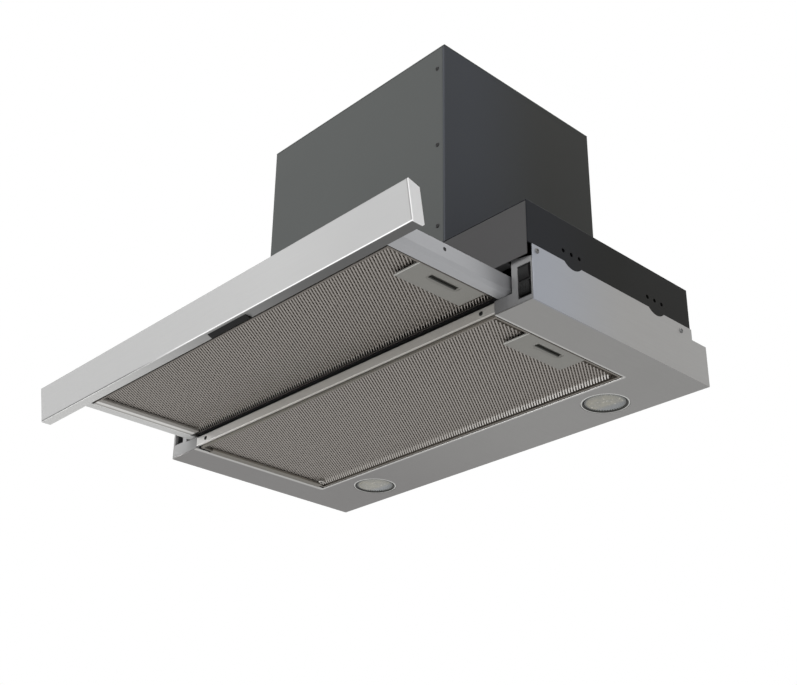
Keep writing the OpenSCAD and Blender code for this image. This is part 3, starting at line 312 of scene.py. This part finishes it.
zinc = Finish("zinc_screw", (0.2, 0.2, 0.2), 1.0, 0.35)
zinc.give(Roughness=0.3 + zinc.noise(900.0) * 0.2, Base_Color=zinc.shade(zinc.noise(500.0), 0.7))
dress(zinc, "pan_screws", "spigot_screws")
blackened = Finish("blackened_screw", (0.02, 0.02, 0.02), 0.5, 0.4)
blackened.give(Roughness=0.35 + blackened.noise(900.0) * 0.2)
dress(blackened, "housing_screws", "bar_screws", "rail_screws")
cross_screws("pan_cross_screws", "pan_screws", zinc, "screw_steel", lambda at: (math.copysign(1, at.x), 0, 0),
             sunk=0.0014, height=0.0012, radius=0.0028, shank_r=0.0018)
cross_screws("housing_cross_screws", "housing_screws", blackened, "black_screw",
             lambda at: (0, math.copysign(1, at.y - 0.05), 0),
             sunk=0.001, height=0.001, radius=0.0026, shank_r=0.0018)
cross_screws("bar_cross_screws", "bar_screws", blackened, "black_screw", lambda at: (0, -1, 0),
             sunk=0.0008, height=0.0008, radius=0.0024, shank_r=0.0014)


# The chassis: one dark coated sheet, folded to top, sides and back, with the
# two groups of fixing holes in each side, and a front panel screwed between.
def coated(name, color, roughness=0.55, grit=900.0, specular=0.12, tint=None):
    finish = Finish(name, color, 0.0, roughness, Specular_IOR_Level=specular)
    cloud, finish.grain = finish.noise(7.0, 3.0), finish.noise(grit, 2.0)
    finish.give(Base_Color=tint(finish) if tint else finish.shade(cloud * 0.3 + finish.grain * 0.2, 0.8),
                Roughness=roughness - 0.08 + cloud * 0.1 + finish.grain * 0.06)
    return finish.bump(finish.grain, 0.00003, 0.35)


# Painted shade: the shell's coat is a darker copy of the front panel's coat, bluish at the front and darkest
# towards the rear.
rear_shade_coat, fore_shade_coat = (0.0105, 0.0105, 0.0092), (0.0155, 0.017, 0.021)


def chassis_painted_shade(coat):
    return coat.mix(coat.axis("Y").band(0.08, -0.05), rear_shade_coat, fore_shade_coat)


chassis_shaded_coat = coated("chassis_shaded_coat", (0.024, 0.0245, 0.024), tint=chassis_painted_shade)
piece("chassis_sheet", soften(merged("chassis_shell"), 0.0008), chassis_shaded_coat,
      "hood", "chassis_paint", "chassis_shell")
front_coat = coated("chassis_front_coat", (0.066, 0.065, 0.066))
piece("chassis_front_sheet", soften(merged("chassis_front"), 0.0006), front_coat,
      "hood", "chassis_paint", "chassis_front")


# The blower's box: two sheets bent to an L, lapped and screwed at the corners,
# and a lid. All have a dark grey satin coat, with painted shade on the switch side.
# Painted shade: the side sheet's coat is a darker copy of the front's coat, bluish at the front and darker
# towards the rear.
box_rear_shade_coat, box_fore_shade_coat = (0.04, 0.041, 0.038), (0.058, 0.063, 0.073)


def box_side_painted_shade(coat):
    return coat.mix(coat.axis("Y").band(0.12, -0.03), box_rear_shade_coat, box_fore_shade_coat)


wrap_coat = coated("housing_coat", (0.09, 0.095, 0.093))
wrap_side_shaded_coat = coated("housing_side_shaded_coat", (0.072, 0.075, 0.08), tint=box_side_painted_shade)
piece("housing_front_sheet", soften(merged("housing_front_wrap"), 0.0007), wrap_coat,
      "hood", "housing_paint", "housing_front_wrap")
piece("housing_side_sheet", soften(merged("housing_rear_wrap"), 0.0007), wrap_side_shaded_coat,
      "hood", "housing_paint", "housing_rear_wrap")
dress(wrap_coat, "housing_top")


# The end caps: mid grey mouldings with rounded rims and a fine spark texture,
# painted shade inside. The switch side's window holds a dark block with two rocker keys.
def moulded(name, color, roughness=0.5, specular=0.3, tint=None):
    finish = Finish(name, color, 0.0, roughness, Specular_IOR_Level=specular)
    finish.spark = finish.noise(1500.0, 2.0)
    finish.give(Base_Color=tint(finish) if tint
                else finish.shade(finish.noise(14.0, 2.0) * 0.3 + finish.spark * 0.15, 0.82),
                Roughness=roughness - 0.08 + finish.spark * 0.16)
    return finish.bump(finish.spark, 0.00003, 0.4)


cap_front, cap_rim_l, cap_inside_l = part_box("end_cap_left")[0][1], 0.002, 0.005
# Painted light: the left cap's shell is painted lighter than the right one's, and the inside beyond the rim is
# painted shade.
right_shell_shade, left_shell_lit = (0.21, 0.21, 0.212), (0.4, 0.4, 0.4)
spark_dark, inside_shade = (0.16, 0.16, 0.16), (0.015, 0.015, 0.015)


def cap_light_and_shade(moulding):
    inside = moulding.axis("Y").band(cap_front + cap_rim_l, cap_front + cap_inside_l)
    shell = moulding.mix(moulding.axis("X").band(0.1, -0.1), right_shell_shade, left_shell_lit)
    shell = moulding.mix(moulding.spark * 0.25, shell, spark_dark)
    return moulding.mix(inside * 0.9, shell, inside_shade)


cap_finish = moulded("cap_moulding", (0.24, 0.24, 0.242), tint=cap_light_and_shade)
for side in ("left", "right"):
    piece(f"cap_{side}", soften(merged(f"end_cap_{side}"), 0.0007, segments=3, shortest=0.003), cap_finish,
          "hood", "cap_plastic", f"end_cap_{side}")
switch_finish = moulded("switch_moulding", (0.013, 0.013, 0.013), 0.55, 0.1)
dress(switch_finish, "switch_block")
for key, body in (("light_rocker", "light_switch"), ("fan_rocker", "fan_switch")):
    piece(f"{key}_key", soften(merged(key), 0.0003, shortest=0.005), switch_finish,
          body, "switch_plastic", key)


# The cross bar: a bright folded strip that closes the pan in front of the
# fixed filter. It is drawn along its length and screwed at both ends.
bar_plain, bar_lit, bar_line = (0.7, 0.69, 0.655), (0.9, 0.89, 0.87), (0.42, 0.41, 0.39)


def bar_tint(strip):
    bright = strip.mix(strip.axis("X").band(-0.08, -0.22), bar_plain, bar_lit)
    return strip.mix(strip.line * 0.35, bright, bar_line)


bar_finish = rolled("cross_bar_strip", (0.56, 0.55, 0.52), 0.42, "X", metallic=0.5, tint=bar_tint)
piece("cross_bar_fold", soften(merged("cross_bar"), 0.0006), bar_finish, "hood", "cross_bar_steel", "cross_bar")

# The drawer: two open steel rails that run in the chassis guides, a sheet
# tray over the filter, bars across both ends, and nylon shoes on the rails.
# Painted light: both rails are the same steel, the left one painted much lighter than the right.
for side, tone in (("left", (0.72, 0.72, 0.71)), ("right", (0.47, 0.475, 0.49))):
    rail_finish = rolled(f"rail_light_and_shade_{side}", tone, 0.45, "Y", metallic=0.6)
    piece(f"rail_{side}", soften(merged(f"drawer_rail_{side}"), 0.0011, segments=3), rail_finish,
          "drawer", "rail_steel", f"drawer_rail_{side}")
tray_finish = rolled("tray_sheet", (0.36, 0.36, 0.37), 0.42, "X")
dress(tray_finish, "drawer_tray", "drawer_rear_bar")
zinc_sheet = rolled("zinc_sheet", (0.4, 0.41, 0.42), 0.4, "Y")
dress(zinc_sheet, "guide_left", "guide_right", "facade_core", "drawer_front_bar")
nylon = moulded("nylon", (0.7, 0.69, 0.64), 0.45)
dress(nylon, "rail_shoes")

# The facade: a skin of brushed stainless steel, folded round at both ends and
# at its foot, grain along its width. Its foot carries a black finger tab.
facade_end, facade_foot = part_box("facade")[1][0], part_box("facade")[0][2]
# Painted light on the skin: the face lighter towards its left end, a shade line and a highlight painted on the
# end fold, the foot's fold painted dark at the left and as a highlight at the right, and its underside painted
# lit at the left and shaded at the right.
face_lit_left, face_shaded_right, face_line = (0.44, 0.44, 0.438), (0.375, 0.375, 0.375), (0.37, 0.37, 0.37)
bend_shade, bend_highlight = (0.27, 0.27, 0.27), (0.82, 0.82, 0.82)
foot_fold_shade, foot_fold_highlight = (0.1, 0.1, 0.1), (0.85, 0.85, 0.85)
under_lit_left, under_shade_right = (0.7, 0.7, 0.69), (0.12, 0.12, 0.118)


def facade_light_and_shade(steel):
    across, from_end, from_foot = steel.axis("X"), facade_end - steel.axis("X"), steel.axis("Z") - facade_foot
    face = steel.mix(across.band(0.1, 0.28), face_lit_left, face_shaded_right)
    face = steel.mix(steel.line * 0.3, face, face_line)
    face = steel.mix(from_end.band(0.0028, 0.0022), face, bend_shade)
    fold = steel.mix(across.band(-0.14, 0.0), foot_fold_shade, foot_fold_highlight)
    face = steel.mix(from_foot.band(0.0022, 0.001), face, fold)
    under = steel.mix(across.band(-0.24, 0.2), under_lit_left, under_shade_right)
    face = steel.mix(from_foot.band(0.0007, 0.0002), face, under)
    return steel.mix(from_end.band(0.0012, 0.0004), face, bend_highlight)


facade_finish = rolled("facade_brushed", (0.43, 0.43, 0.428), 0.5, "X", metallic=0.3, tint=facade_light_and_shade)
piece("facade_skin", soften(merged("facade"), 0.0009, segments=3), facade_finish,
      "drawer", "facade_steel", "facade")
tab_finish = moulded("tab_moulding", (0.006, 0.006, 0.006), 0.45, 0.15)
piece("finger_tab", soften(merged("pull_tab"), 0.0005, shortest=0.004), tab_finish,
      "drawer", "tab_plastic", "pull_tab")

# The filter faces: expanded aluminium, its long strands 3.64 mm apart, tied by
# short links and leaning with the rolling. Each face is dished inside its
# channel, rolled over the channel's edges and cut away round the latch plate.
pitch_x, pitch_y, lean, thick = 0.00364, 0.0056, 0.65, 0.0004
strand_w, strand_tip_w, lower_share = 0.00165, 0.0003, 0.55
link_w, link_rise, link_from = 0.0005, 0.0005, 0.6
dish, proud = 0.0034, 0.0002
front_flat, front_roll, rear_flat, rear_roll = 0.0012, 0.004, 0.001, 0.0055
hinge_lap, front_hinge_l, rear_hinge_l = 0.0034, 0.0055, 0.0075
plate_lap, plate_gap, plate_back_gap = 0.0052, 0.0003, 0.0005
plate_level, plate_climb, plate_slope = 0.0005, 0.0031, 0.005
rivet_x, rivet_y, rivet_room = -0.2195, 0.12615, 0.0048


def part_of(length, whole):
    return min(max(length / whole, 0.0), 1.0)


def expanded(name, frame_node, plate_node, body, finish, tail, left, right, back, rear_lap, riveted):
    low, high = (Vector(corner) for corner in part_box(frame_node))
    plate_low, plate_high = (Vector(corner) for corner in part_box(plate_node))
    x0, x1, y0, y1 = low.x + left, high.x - right, low.y - proud, high.y - back
    shape = bmesh.new()
    side = shape.verts.layers.float_vector.new("side")

    def level(x, y):
        front, rear = part_of(y - y0 - front_flat, front_roll), part_of(y1 - y - rear_flat, rear_roll)
        off_plate = 1.0
        if y > plate_low.y + plate_lap:
            off_plate = max(plate_low.x - x, y - plate_high.y, 0.0) / plate_slope
        return low.z + min(dish * min(front, rear) - proud, plate_level + plate_climb * off_plate)

    def free(x, y):
        lap = hinge_lap if y < y0 + front_hinge_l or (rear_lap and y > y1 - rear_hinge_l) else 0.0
        if not (x0 + lap <= x <= x1 and y0 <= y <= y1):
            return False
        if riveted and math.hypot(x - rivet_x, y - rivet_y) < rivet_room:
            return False
        return (x < plate_low.x + plate_gap or y < plate_low.y + plate_lap
                or y > plate_high.y - plate_back_gap)

    def strand(points, widths):
        along = (points[-1] - points[0]).normalized()
        path = [shape.verts.new(point) for point in points]
        for vert, width in zip(path, widths):
            vert[side] = Vector((along.y, -along.x, 0.0)) * width / 2
        for pair in zip(path, path[1:]):
            shape.edges.new(pair)

    fine = pitch_y / 16
    steps = int((y1 - y0) / fine) + 1
    for line in range(int((x1 - x0 + (y1 - y0) * lean) / pitch_x) + 1):
        points, widths = [], []
        for step in range(steps + 1):
            y = min(y0 + step * fine, y1)
            x = x0 + line * pitch_x - (y - y0) * lean
            spot = Vector((x, y, level(x, y)))
            full = part_of(y1 - y, tail) if tail else 1.0
            ok, last = free(x, y), step == steps or not free(x - fine * lean, y + fine)
            if ok and (not points or last or step % 8 == 0):
                points.append(spot)
                widths.append(strand_tip_w + (strand_w - strand_tip_w) * full)
            tie_x, tie_y = x + pitch_x / 2, y + pitch_y / 2
            if ok and step % 16 == 8 * (line % 2) and full > link_from and free(tie_x, tie_y):
                over = Vector((0, 0, link_rise))
                strand([spot + over, Vector((tie_x, tie_y, level(tie_x, tie_y))) + over], [link_w, link_w])
            if last or not ok:
                if len(points) > 1:
                    strand(points, widths)
                points, widths = [], []

    for vert in drawn_out(shape, list(shape.edges)):
        vert[side] = -vert[side]
    for vert in shape.verts:
        vert.co += vert[side] * lower_share
    for vert in drawn_out(shape, free_edges(shape)):
        vert.co += vert[side] * (1 - lower_share) + Vector((0, 0, thick))
    shape.verts.layers.float_vector.remove(side)
    piece(name, shape, finish, body, "filter_mesh_alu", crease=20, evened=False)


# Painted highlight: the strands' rolled rear end is painted lighter, most at the right.
roll_highlight_left, roll_highlight_right = (0.5, 0.475, 0.445), (0.72, 0.7, 0.67)


def strand_tint(strand):
    roll_highlight_mask = strand.axis("Y").band(filter_high.y - 0.0135, filter_high.y - 0.011)
    plain = strand.shade(strand.line * 0.25 + strand.cloud * 0.25, 0.84)
    bright = strand.mix(strand.axis("X").band(-0.1, 0.16), roll_highlight_left, roll_highlight_right)
    return strand.mix(roll_highlight_mask, plain, bright)


strand_finish = rolled("expanded_strand", (0.46, 0.43, 0.4), 0.45, "Y", tint=strand_tint)
expanded("fixed_filter_face", "rear_filter_frame", "rear_latch_plate", "rear_filter", strand_finish,
         tail=0.0, left=0.0107, right=0.0089, back=0.0068, rear_lap=True, riveted=True)
expanded("drawer_filter_face", "front_filter_frame", "front_latch_plate", "front_filter", strand_finish,
         tail=0.009, left=0.0191, right=0.004, back=0.0004, rear_lap=False, riveted=False)

# The hinge strips: a folded aluminium strip along each filter's left edge, on
# which it turns. It covers the strands' ends, and the fixed filter's is held
# at its back end by one hollow rivet.
fold_rise, fold_r, strip_t, strip_drop, inset, fold_inset = 0.0026, 0.0006, 0.0003, 0.0001, 0.0005, 0.0004
rivet_profile = ((0.0001, 0.0), (0.0016, 0.0), (0.0018, -0.0003), (0.0025, -0.0005), (0.003, -0.0003),
                 (0.0032, 0.0002))
rivet_bore, rivet_rim = (0.002, 0.0018), (0.0034, 0.0033)
# Where the drawer strip's painted light and shade bands lie, measured in from the channel's edge.
dark_band_at, ridge_at, shade_at = (0.0058, 0.007), (0.0085, 0.0115), (0.0145, 0.0165)


def hinge_strip(name, frame_node, body, finish, width, lead, short, rivet=None):
    low, high = (Vector(corner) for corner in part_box(frame_node))
    near = Vector((low.x + inset, low.y + lead, low.z - strip_drop))
    far = Vector((low.x + width - fold_inset, high.y - short, low.z - strip_drop))
    strip = bmesh.new()
    bmesh.ops.create_grid(strip, x_segments=1, y_segments=1, size=0.5)
    bmesh.ops.scale(strip, verts=strip.verts, vec=(far.x - near.x, far.y - near.y, 1.0))
    bmesh.ops.translate(strip, verts=strip.verts, vec=(near + far) / 2)
    inner = [edge for edge in strip.edges if all(vert.co.x > low.x + width / 2 for vert in edge.verts)]
    bmesh.ops.translate(strip, verts=drawn_out(strip, inner), vec=(0, 0, fold_rise))
    fold = [edge for edge in strip.edges if len(edge.link_faces) == 2]
    bmesh.ops.bevel(strip, geom=fold, offset=fold_r, offset_type="OFFSET", segments=3, profile=0.5,
                    affect="EDGES", material=-1)
    bmesh.ops.recalc_face_normals(strip, faces=strip.faces)
    bmesh.ops.solidify(strip, geom=strip.faces[:], thickness=strip_t)
    if rivet:
        profile = [strip.verts.new(rivet + Vector((out, 0, up))) for out, up in rivet_profile]
        edges = [strip.edges.new(pair) for pair in zip(profile, profile[1:])]
        bmesh.ops.spin(strip, geom=profile + edges, cent=rivet, axis=(0, 0, 1), steps=24, angle=math.tau,
                       use_merge=True)
    bmesh.ops.recalc_face_normals(strip, faces=strip.faces)
    piece(name, strip, finish, body, "filter_frame_alu")


strip_flat, strip_fold = (0.25, 0.235, 0.21), (0.3, 0.28, 0.25)
# Painted light on the rivet: a painted highlight on its rim and painted shade in its bore, on a closed head.
rivet_rim_highlight, rivet_bore_shade = (0.62, 0.6, 0.57), (0.01, 0.01, 0.01)
# The drawer strip's bands are painted light and shade: a highlight along its outer edge, a dark band, a lit
# band on the raised half and shade beyond it.
edge_lit, dark_band_shade = (0.95, 0.95, 0.94), (0.42, 0.41, 0.39)
ridge_lit, strip_shade = (0.8, 0.79, 0.77), (0.32, 0.305, 0.285)


def fixed_strip_tint(strip):
    off_rivet = strip.far_from(rivet_x, rivet_y)
    tone = strip.mix(strip.axis("Z").band(0.0011, 0.0015), strip_flat, strip_fold)
    tone = strip.mix(off_rivet.band(*rivet_rim), tone, rivet_rim_highlight)
    return strip.mix(off_rivet.band(*rivet_bore), tone, rivet_bore_shade)


def drawer_strip_tint(strip):
    inwards = strip.axis("X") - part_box("front_filter_frame")[0][0]
    tone = strip.mix(inwards.band(*dark_band_at), edge_lit, dark_band_shade)
    tone = strip.mix(inwards.band(*ridge_at), tone, ridge_lit)
    return strip.mix(inwards.band(*shade_at), tone, strip_shade)


fixed_strip = rolled("fixed_hinge_strip", (0.24, 0.225, 0.2), 0.5, "Y", tint=fixed_strip_tint)
hinge_strip("fixed_filter_strip", "rear_filter_frame", "rear_filter", fixed_strip,
            width=0.0137, lead=0.014, short=0.0068, rivet=Vector((rivet_x, rivet_y, filter_low.z - strip_drop)))
drawer_strip = rolled("drawer_hinge_strip", (0.3, 0.3, 0.29), 0.5, "Y", metallic=0.6, tint=drawer_strip_tint)
hinge_strip("drawer_filter_strip", "front_filter_frame", "front_filter", drawer_strip,
            width=0.0221, lead=0.0006, short=0.004)

# The filter channels and foil: a rolled aluminium channel round each filter,
# and in it the folded foil that catches the grease behind the face, both painted in brown shade.
tail_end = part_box("front_filter_frame")[1][1]
# Painted shade: the channels and foil are painted in brown shade tones, near black at the drawer channel's tail
# and paler on the foil by the rolled end.
channel_shade, channel_corner_shade = (0.24, 0.225, 0.2), (0.25, 0.23, 0.205)
drawer_channel_shade, drawer_channel_tail_shade = (0.2, 0.18, 0.16), (0.02, 0.018, 0.015)
foil_light, foil_dark, foil_lit_by_roll = (0.2, 0.175, 0.15), (0.165, 0.145, 0.122), (0.3, 0.28, 0.25)


def fixed_channel_tint(channel):
    corner = channel.axis("X").band(0.1, 0.2) + channel.axis("Y").band(0.12, 0.13)
    return channel.mix(corner, channel_shade, channel_corner_shade)


def drawer_channel_tint(channel):
    return channel.mix(channel.axis("Y").band(tail_end - 0.014, tail_end - 0.006),
                       drawer_channel_shade, drawer_channel_tail_shade)


def foil_tint(sheet):
    by_roll = sheet.axis("Y").band(0.12, 0.128) * sheet.axis("X").band(0.12, -0.05)
    return sheet.mix(by_roll, sheet.mix(sheet.noise(200.0), foil_light, foil_dark), foil_lit_by_roll)


fixed_channel = rolled("filter_channel", (0.24, 0.22, 0.195), 0.5, "XY", tint=fixed_channel_tint)
dress(fixed_channel, "rear_filter_frame")
drawer_channel = rolled("drawer_filter_channel", (0.24, 0.22, 0.195), 0.5, "XY", metallic=0.6,
                        tint=drawer_channel_tint)
dress(drawer_channel, "front_filter_frame")
foil = rolled("filter_foil", (0.19, 0.165, 0.14), 0.7, "Y", metallic=0.3, tint=foil_tint)
dress(foil, "rear_filter_mesh", "front_filter_mesh")

# The latch plates: a grey moulded plate at each filter's free edge, dished
# round its finger slot, with a painted highlight along its front lip and a dark bolt behind.
plate_grey, plate_dark, lip_highlight = (0.25, 0.244, 0.223), (0.21, 0.205, 0.186), (0.62, 0.62, 0.59)
slot_in, slot_half, dish_from, dish_to = 0.0114, 0.0145, 0.0035, 0.0068
for which in ("rear", "front"):
    low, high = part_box(f"{which}_latch_plate")

    def plate_tint(plate):
        lip = plate.axis("Y").band(low[1] + 0.0012, low[1] + 0.0008)
        return plate.mix(lip, plate.mix(plate.grain * 0.3, plate_grey, plate_dark), lip_highlight)

    plate_finish = coated(f"{which}_latch_plate", (0.245, 0.24, 0.22), 0.42, 1200.0, 0.5, plate_tint)
    along = plate_finish.axis("Y") - (low[1] + high[1]) / 2
    beyond = along.calc("MAXIMUM", along.calc("ABSOLUTE", along) - slot_half, 0.0)
    aside = plate_finish.axis("X") - (high[0] - slot_in)
    off_slot = (beyond * beyond + aside * aside) ** 0.5
    plate_finish.bump(off_slot.band(dish_from, dish_to) + plate_finish.grain * 0.02, 0.0012, 0.8)
    dress(plate_finish, f"{which}_latch_plate")
bolt_finish = coated("latch_bolt", (0.05, 0.05, 0.045), 0.45)
dress(bolt_finish, "rear_latch_slider", "front_latch_slider")

# The outlet and the terminal box: black mouldings on the lid and the chassis.
# The collar holds two flaps on one ground pin, so that no air comes back.
black_moulding = moulded("black_moulding", (0.03, 0.03, 0.032), 0.45)
dress(black_moulding, "outlet_spigot", "flap_front", "flap_rear")
dress(black_moulding, "terminal_box", "terminal_cover", "cable_gland")
ground_steel = rolled("ground_steel", (0.55, 0.55, 0.56), 0.25, "X")
dress(ground_steel, "motor_shaft", "flap_pin")

# The blower: a pale moulded scroll in two halves, a dark wheel, and a cast
# motor on a zinc plated bracket with rubber mounts, its capacitor beside it.
pale_moulding = moulded("pale_moulding", (0.6, 0.6, 0.58), 0.45)
dress(pale_moulding, "scroll_left", "scroll_right")
wheel_moulding = moulded("wheel_moulding", (0.04, 0.06, 0.1), 0.4)
dress(wheel_moulding, "impeller")
cast = Finish("motor_casting", (0.4, 0.41, 0.42), 1.0, 0.5)
cast.bump(cast.noise(500.0, 3.0), 0.0001, 0.5)
dress(cast, "motor")
dress(zinc_sheet, "motor_bracket")
rubber = moulded("mount_rubber", (0.02, 0.02, 0.02), 0.7)
dress(rubber, "rubber_mounts")
dress(nylon, "capacitor")

# The lamps: a satin trim ring with painted shade on its inner step, a formed cup,
# and a lens of pressed glass, ribbed round its rim and bulged towards the hob,
# with painted glints and a painted cool reflection on its far half.
cup_finish = rolled("lamp_cup", (0.6, 0.6, 0.6), 0.3, "")
dress(cup_finish, "lamp_cup_left", "lamp_cup_right")
# Lens tones: beige and warm glass, painted glints, a painted cool reflection for the far half, and the ribbed
# rim.
glass_beige, glass_warm, glass_glint = (0.255, 0.25, 0.212), (0.3, 0.288, 0.228), (0.75, 0.72, 0.62)
glass_cool_reflection, glass_rim = (0.19, 0.205, 0.215), (0.13, 0.135, 0.13)
# Trim tones: painted shade for the inner step, and the satin face.
trim_step_shade, trim_face = (0.035, 0.036, 0.033), (0.72, 0.72, 0.7)
step_in, step_out, rim_in, rim_out = 0.0019, 0.0011, 0.0068, 0.0052
rings, ribs, rib_h, ribs_from = 12, 48, 0.0003, 0.6
lens_z, lens_bulge, lens_back, lens_hole, lens_inset = 0.0007, 0.0006, 0.0055, 0.02, 0.0041
for side in ("left", "right"):
    low, high = (Vector(corner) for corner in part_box(f"lamp_bezel_{side}"))
    centre, outer = (low + high) / 2, (high.x - low.x) / 2
    trim = Finish(f"lamp_trim_{side}", (0.6, 0.6, 0.59), 0.6, 0.35)
    on_face = trim.far_from(centre.x, centre.y).band(outer - step_in, outer - step_out)
    trim.give(Base_Color=trim.mix(on_face, trim_step_shade, trim_face))
    trim.give(Roughness=0.3 + trim.noise(900.0, 2.0) * 0.15)
    piece(f"lamp_ring_{side}", soften(merged(f"lamp_bezel_{side}"), 0.0003, shortest=0.0), trim,
          "hood", "lamp_trim", f"lamp_bezel_{side}")
    lens = Finish(f"pressed_glass_{side}", (0.3, 0.295, 0.26), 0.0, 0.18, Coat_Weight=0.5)
    fleck = lens.noise(260.0, 2.0)
    glass = lens.mix(lens.noise(90.0, 1.0).band(0.45, 0.62), glass_beige, glass_warm)
    glass = lens.mix(fleck.band(0.6, 0.72) * 0.7, glass, glass_glint)
    glass = lens.mix((lens.axis("Y") - centre.y).band(0.004, 0.014), glass, glass_cool_reflection)
    on_rim = lens.far_from(centre.x, centre.y).band(outer - rim_in, outer - rim_out)
    lens.give(Base_Color=lens.mix(on_rim, glass, glass_rim))
    lens.bump(fleck, 0.0004, 0.4)
    bulge, radius = bmesh.new(), outer - lens_inset
    shares = [max(ring / rings, lens_hole) for ring in range(rings + 1)]
    profile = [bulge.verts.new((centre.x + radius * share, centre.y, lens_z + lens_bulge * share ** 4))
               for share in shares]
    edges = [bulge.edges.new(pair) for pair in zip(profile, profile[1:])]
    bmesh.ops.spin(bulge, geom=profile + edges, cent=centre, axis=(0, 0, 1), steps=ribs * 4, angle=math.tau,
                   use_merge=True)
    for vert in bulge.verts:
        out = vert.co.xy - centre.xy
        wave = math.sin(math.atan2(out.y, out.x) * ribs)
        vert.co.z += rib_h * wave * max(out.length / radius - ribs_from, 0.0) / (1 - ribs_from)
    hole = [edge for edge in free_edges(bulge) if (edge.verts[0].co.xy - centre.xy).length < radius / 2]
    bmesh.ops.contextual_create(bulge, geom=hole)
    for vert in drawn_out(bulge, free_edges(bulge)):
        vert.co.z = lens_back
    bmesh.ops.contextual_create(bulge, geom=free_edges(bulge))
    bmesh.ops.recalc_face_normals(bulge, faces=bulge.faces)
    piece(f"lamp_lens_{side}", bulge, lens, "hood", "lamp_glass", f"lamp_glass_{side}", crease=50)


# The studio: a pale floor far under the hood and a white surround, which metal
# and glass show as well, and soft boxes in front, above, below and beside it.
floor_half, floor_z, floor_white = 40.0, -2.4, 0.5
soft_light, white_light = 0.38, 1.0


def seen(shading):
    camera, glossy, through = (shading.node("ShaderNodeLightPath", {}, {}, ray)
                               for ray in ("Is Camera Ray", "Is Glossy Ray", "Is Transmission Ray"))
    return camera + glossy + through


floor_shape = bmesh.new()
bmesh.ops.create_grid(floor_shape, x_segments=1, y_segments=1, size=floor_half)
bmesh.ops.translate(floor_shape, verts=floor_shape.verts, vec=(0, 0, floor_z))
floor_data = bpy.data.meshes.new("studio_floor")
floor_shape.to_mesh(floor_data)
floor_shape.free()
floor = bpy.data.objects.new("studio_floor", floor_data)
scene.collection.objects.link(floor)
floor_finish = Finish("studio_floor", (0.9, 0.9, 0.9), 0.0, 0.8)
pale = floor_finish.node("ShaderNodeEmission", {}, {})
lit_floor = floor_finish.node("ShaderNodeMixShader", {}, {
    0: seen(floor_finish) * floor_white, 1: floor_finish.coat, 2: pale})
floor_finish.feed(floor_finish.surface, {0: lit_floor})
floor_data.materials.append(floor_finish.material)

world = bpy.data.worlds.new("studio")
scene.world = world
world.use_nodes = True
sky = Shading(world.node_tree)
soft = sky.node("ShaderNodeBackground", {}, {"Color": (1, 1, 1), "Strength": soft_light})
white = sky.node("ShaderNodeBackground", {}, {"Color": (1, 1, 1), "Strength": white_light})
surround = sky.node("ShaderNodeMixShader", {}, {0: seen(sky), 1: soft, 2: white})
sky.node("ShaderNodeOutputWorld", {}, {0: surround})


def softbox(name, place, aim, size, power):
    lamp = bpy.data.lights.new(name, "AREA")
    lamp.shape = "RECTANGLE"
    lamp.size, lamp.size_y = size
    lamp.energy = power
    stand = bpy.data.objects.new(name, lamp)
    stand.location = place
    stand.rotation_euler = (Vector(aim) - Vector(place)).to_track_quat("-Z", "Y").to_euler()
    stand.visible_camera = False
    scene.collection.objects.link(stand)


softbox("front_box", (-0.3, -2.8, 0.9), (0.0, 0.0, 0.1), (2.4, 1.8), 55.0)
softbox("under_box", (0.55, -0.35, -1.05), (0.35, -0.3, 0.0), (3.6, 3.6), 5.0)
softbox("top_box", (0.0, 0.3, 2.6), (0.0, 0.0, 0.3), (2.4, 2.4), 34.0)
softbox("left_box", (-1.5, -0.7, -0.6), (-0.28, 0.0, 0.0), (0.7, 0.7), 7.0)
softbox("right_box", (1.9, -0.9, 0.1), (0.28, 0.0, 0.0), (0.9, 0.9), 4.0)
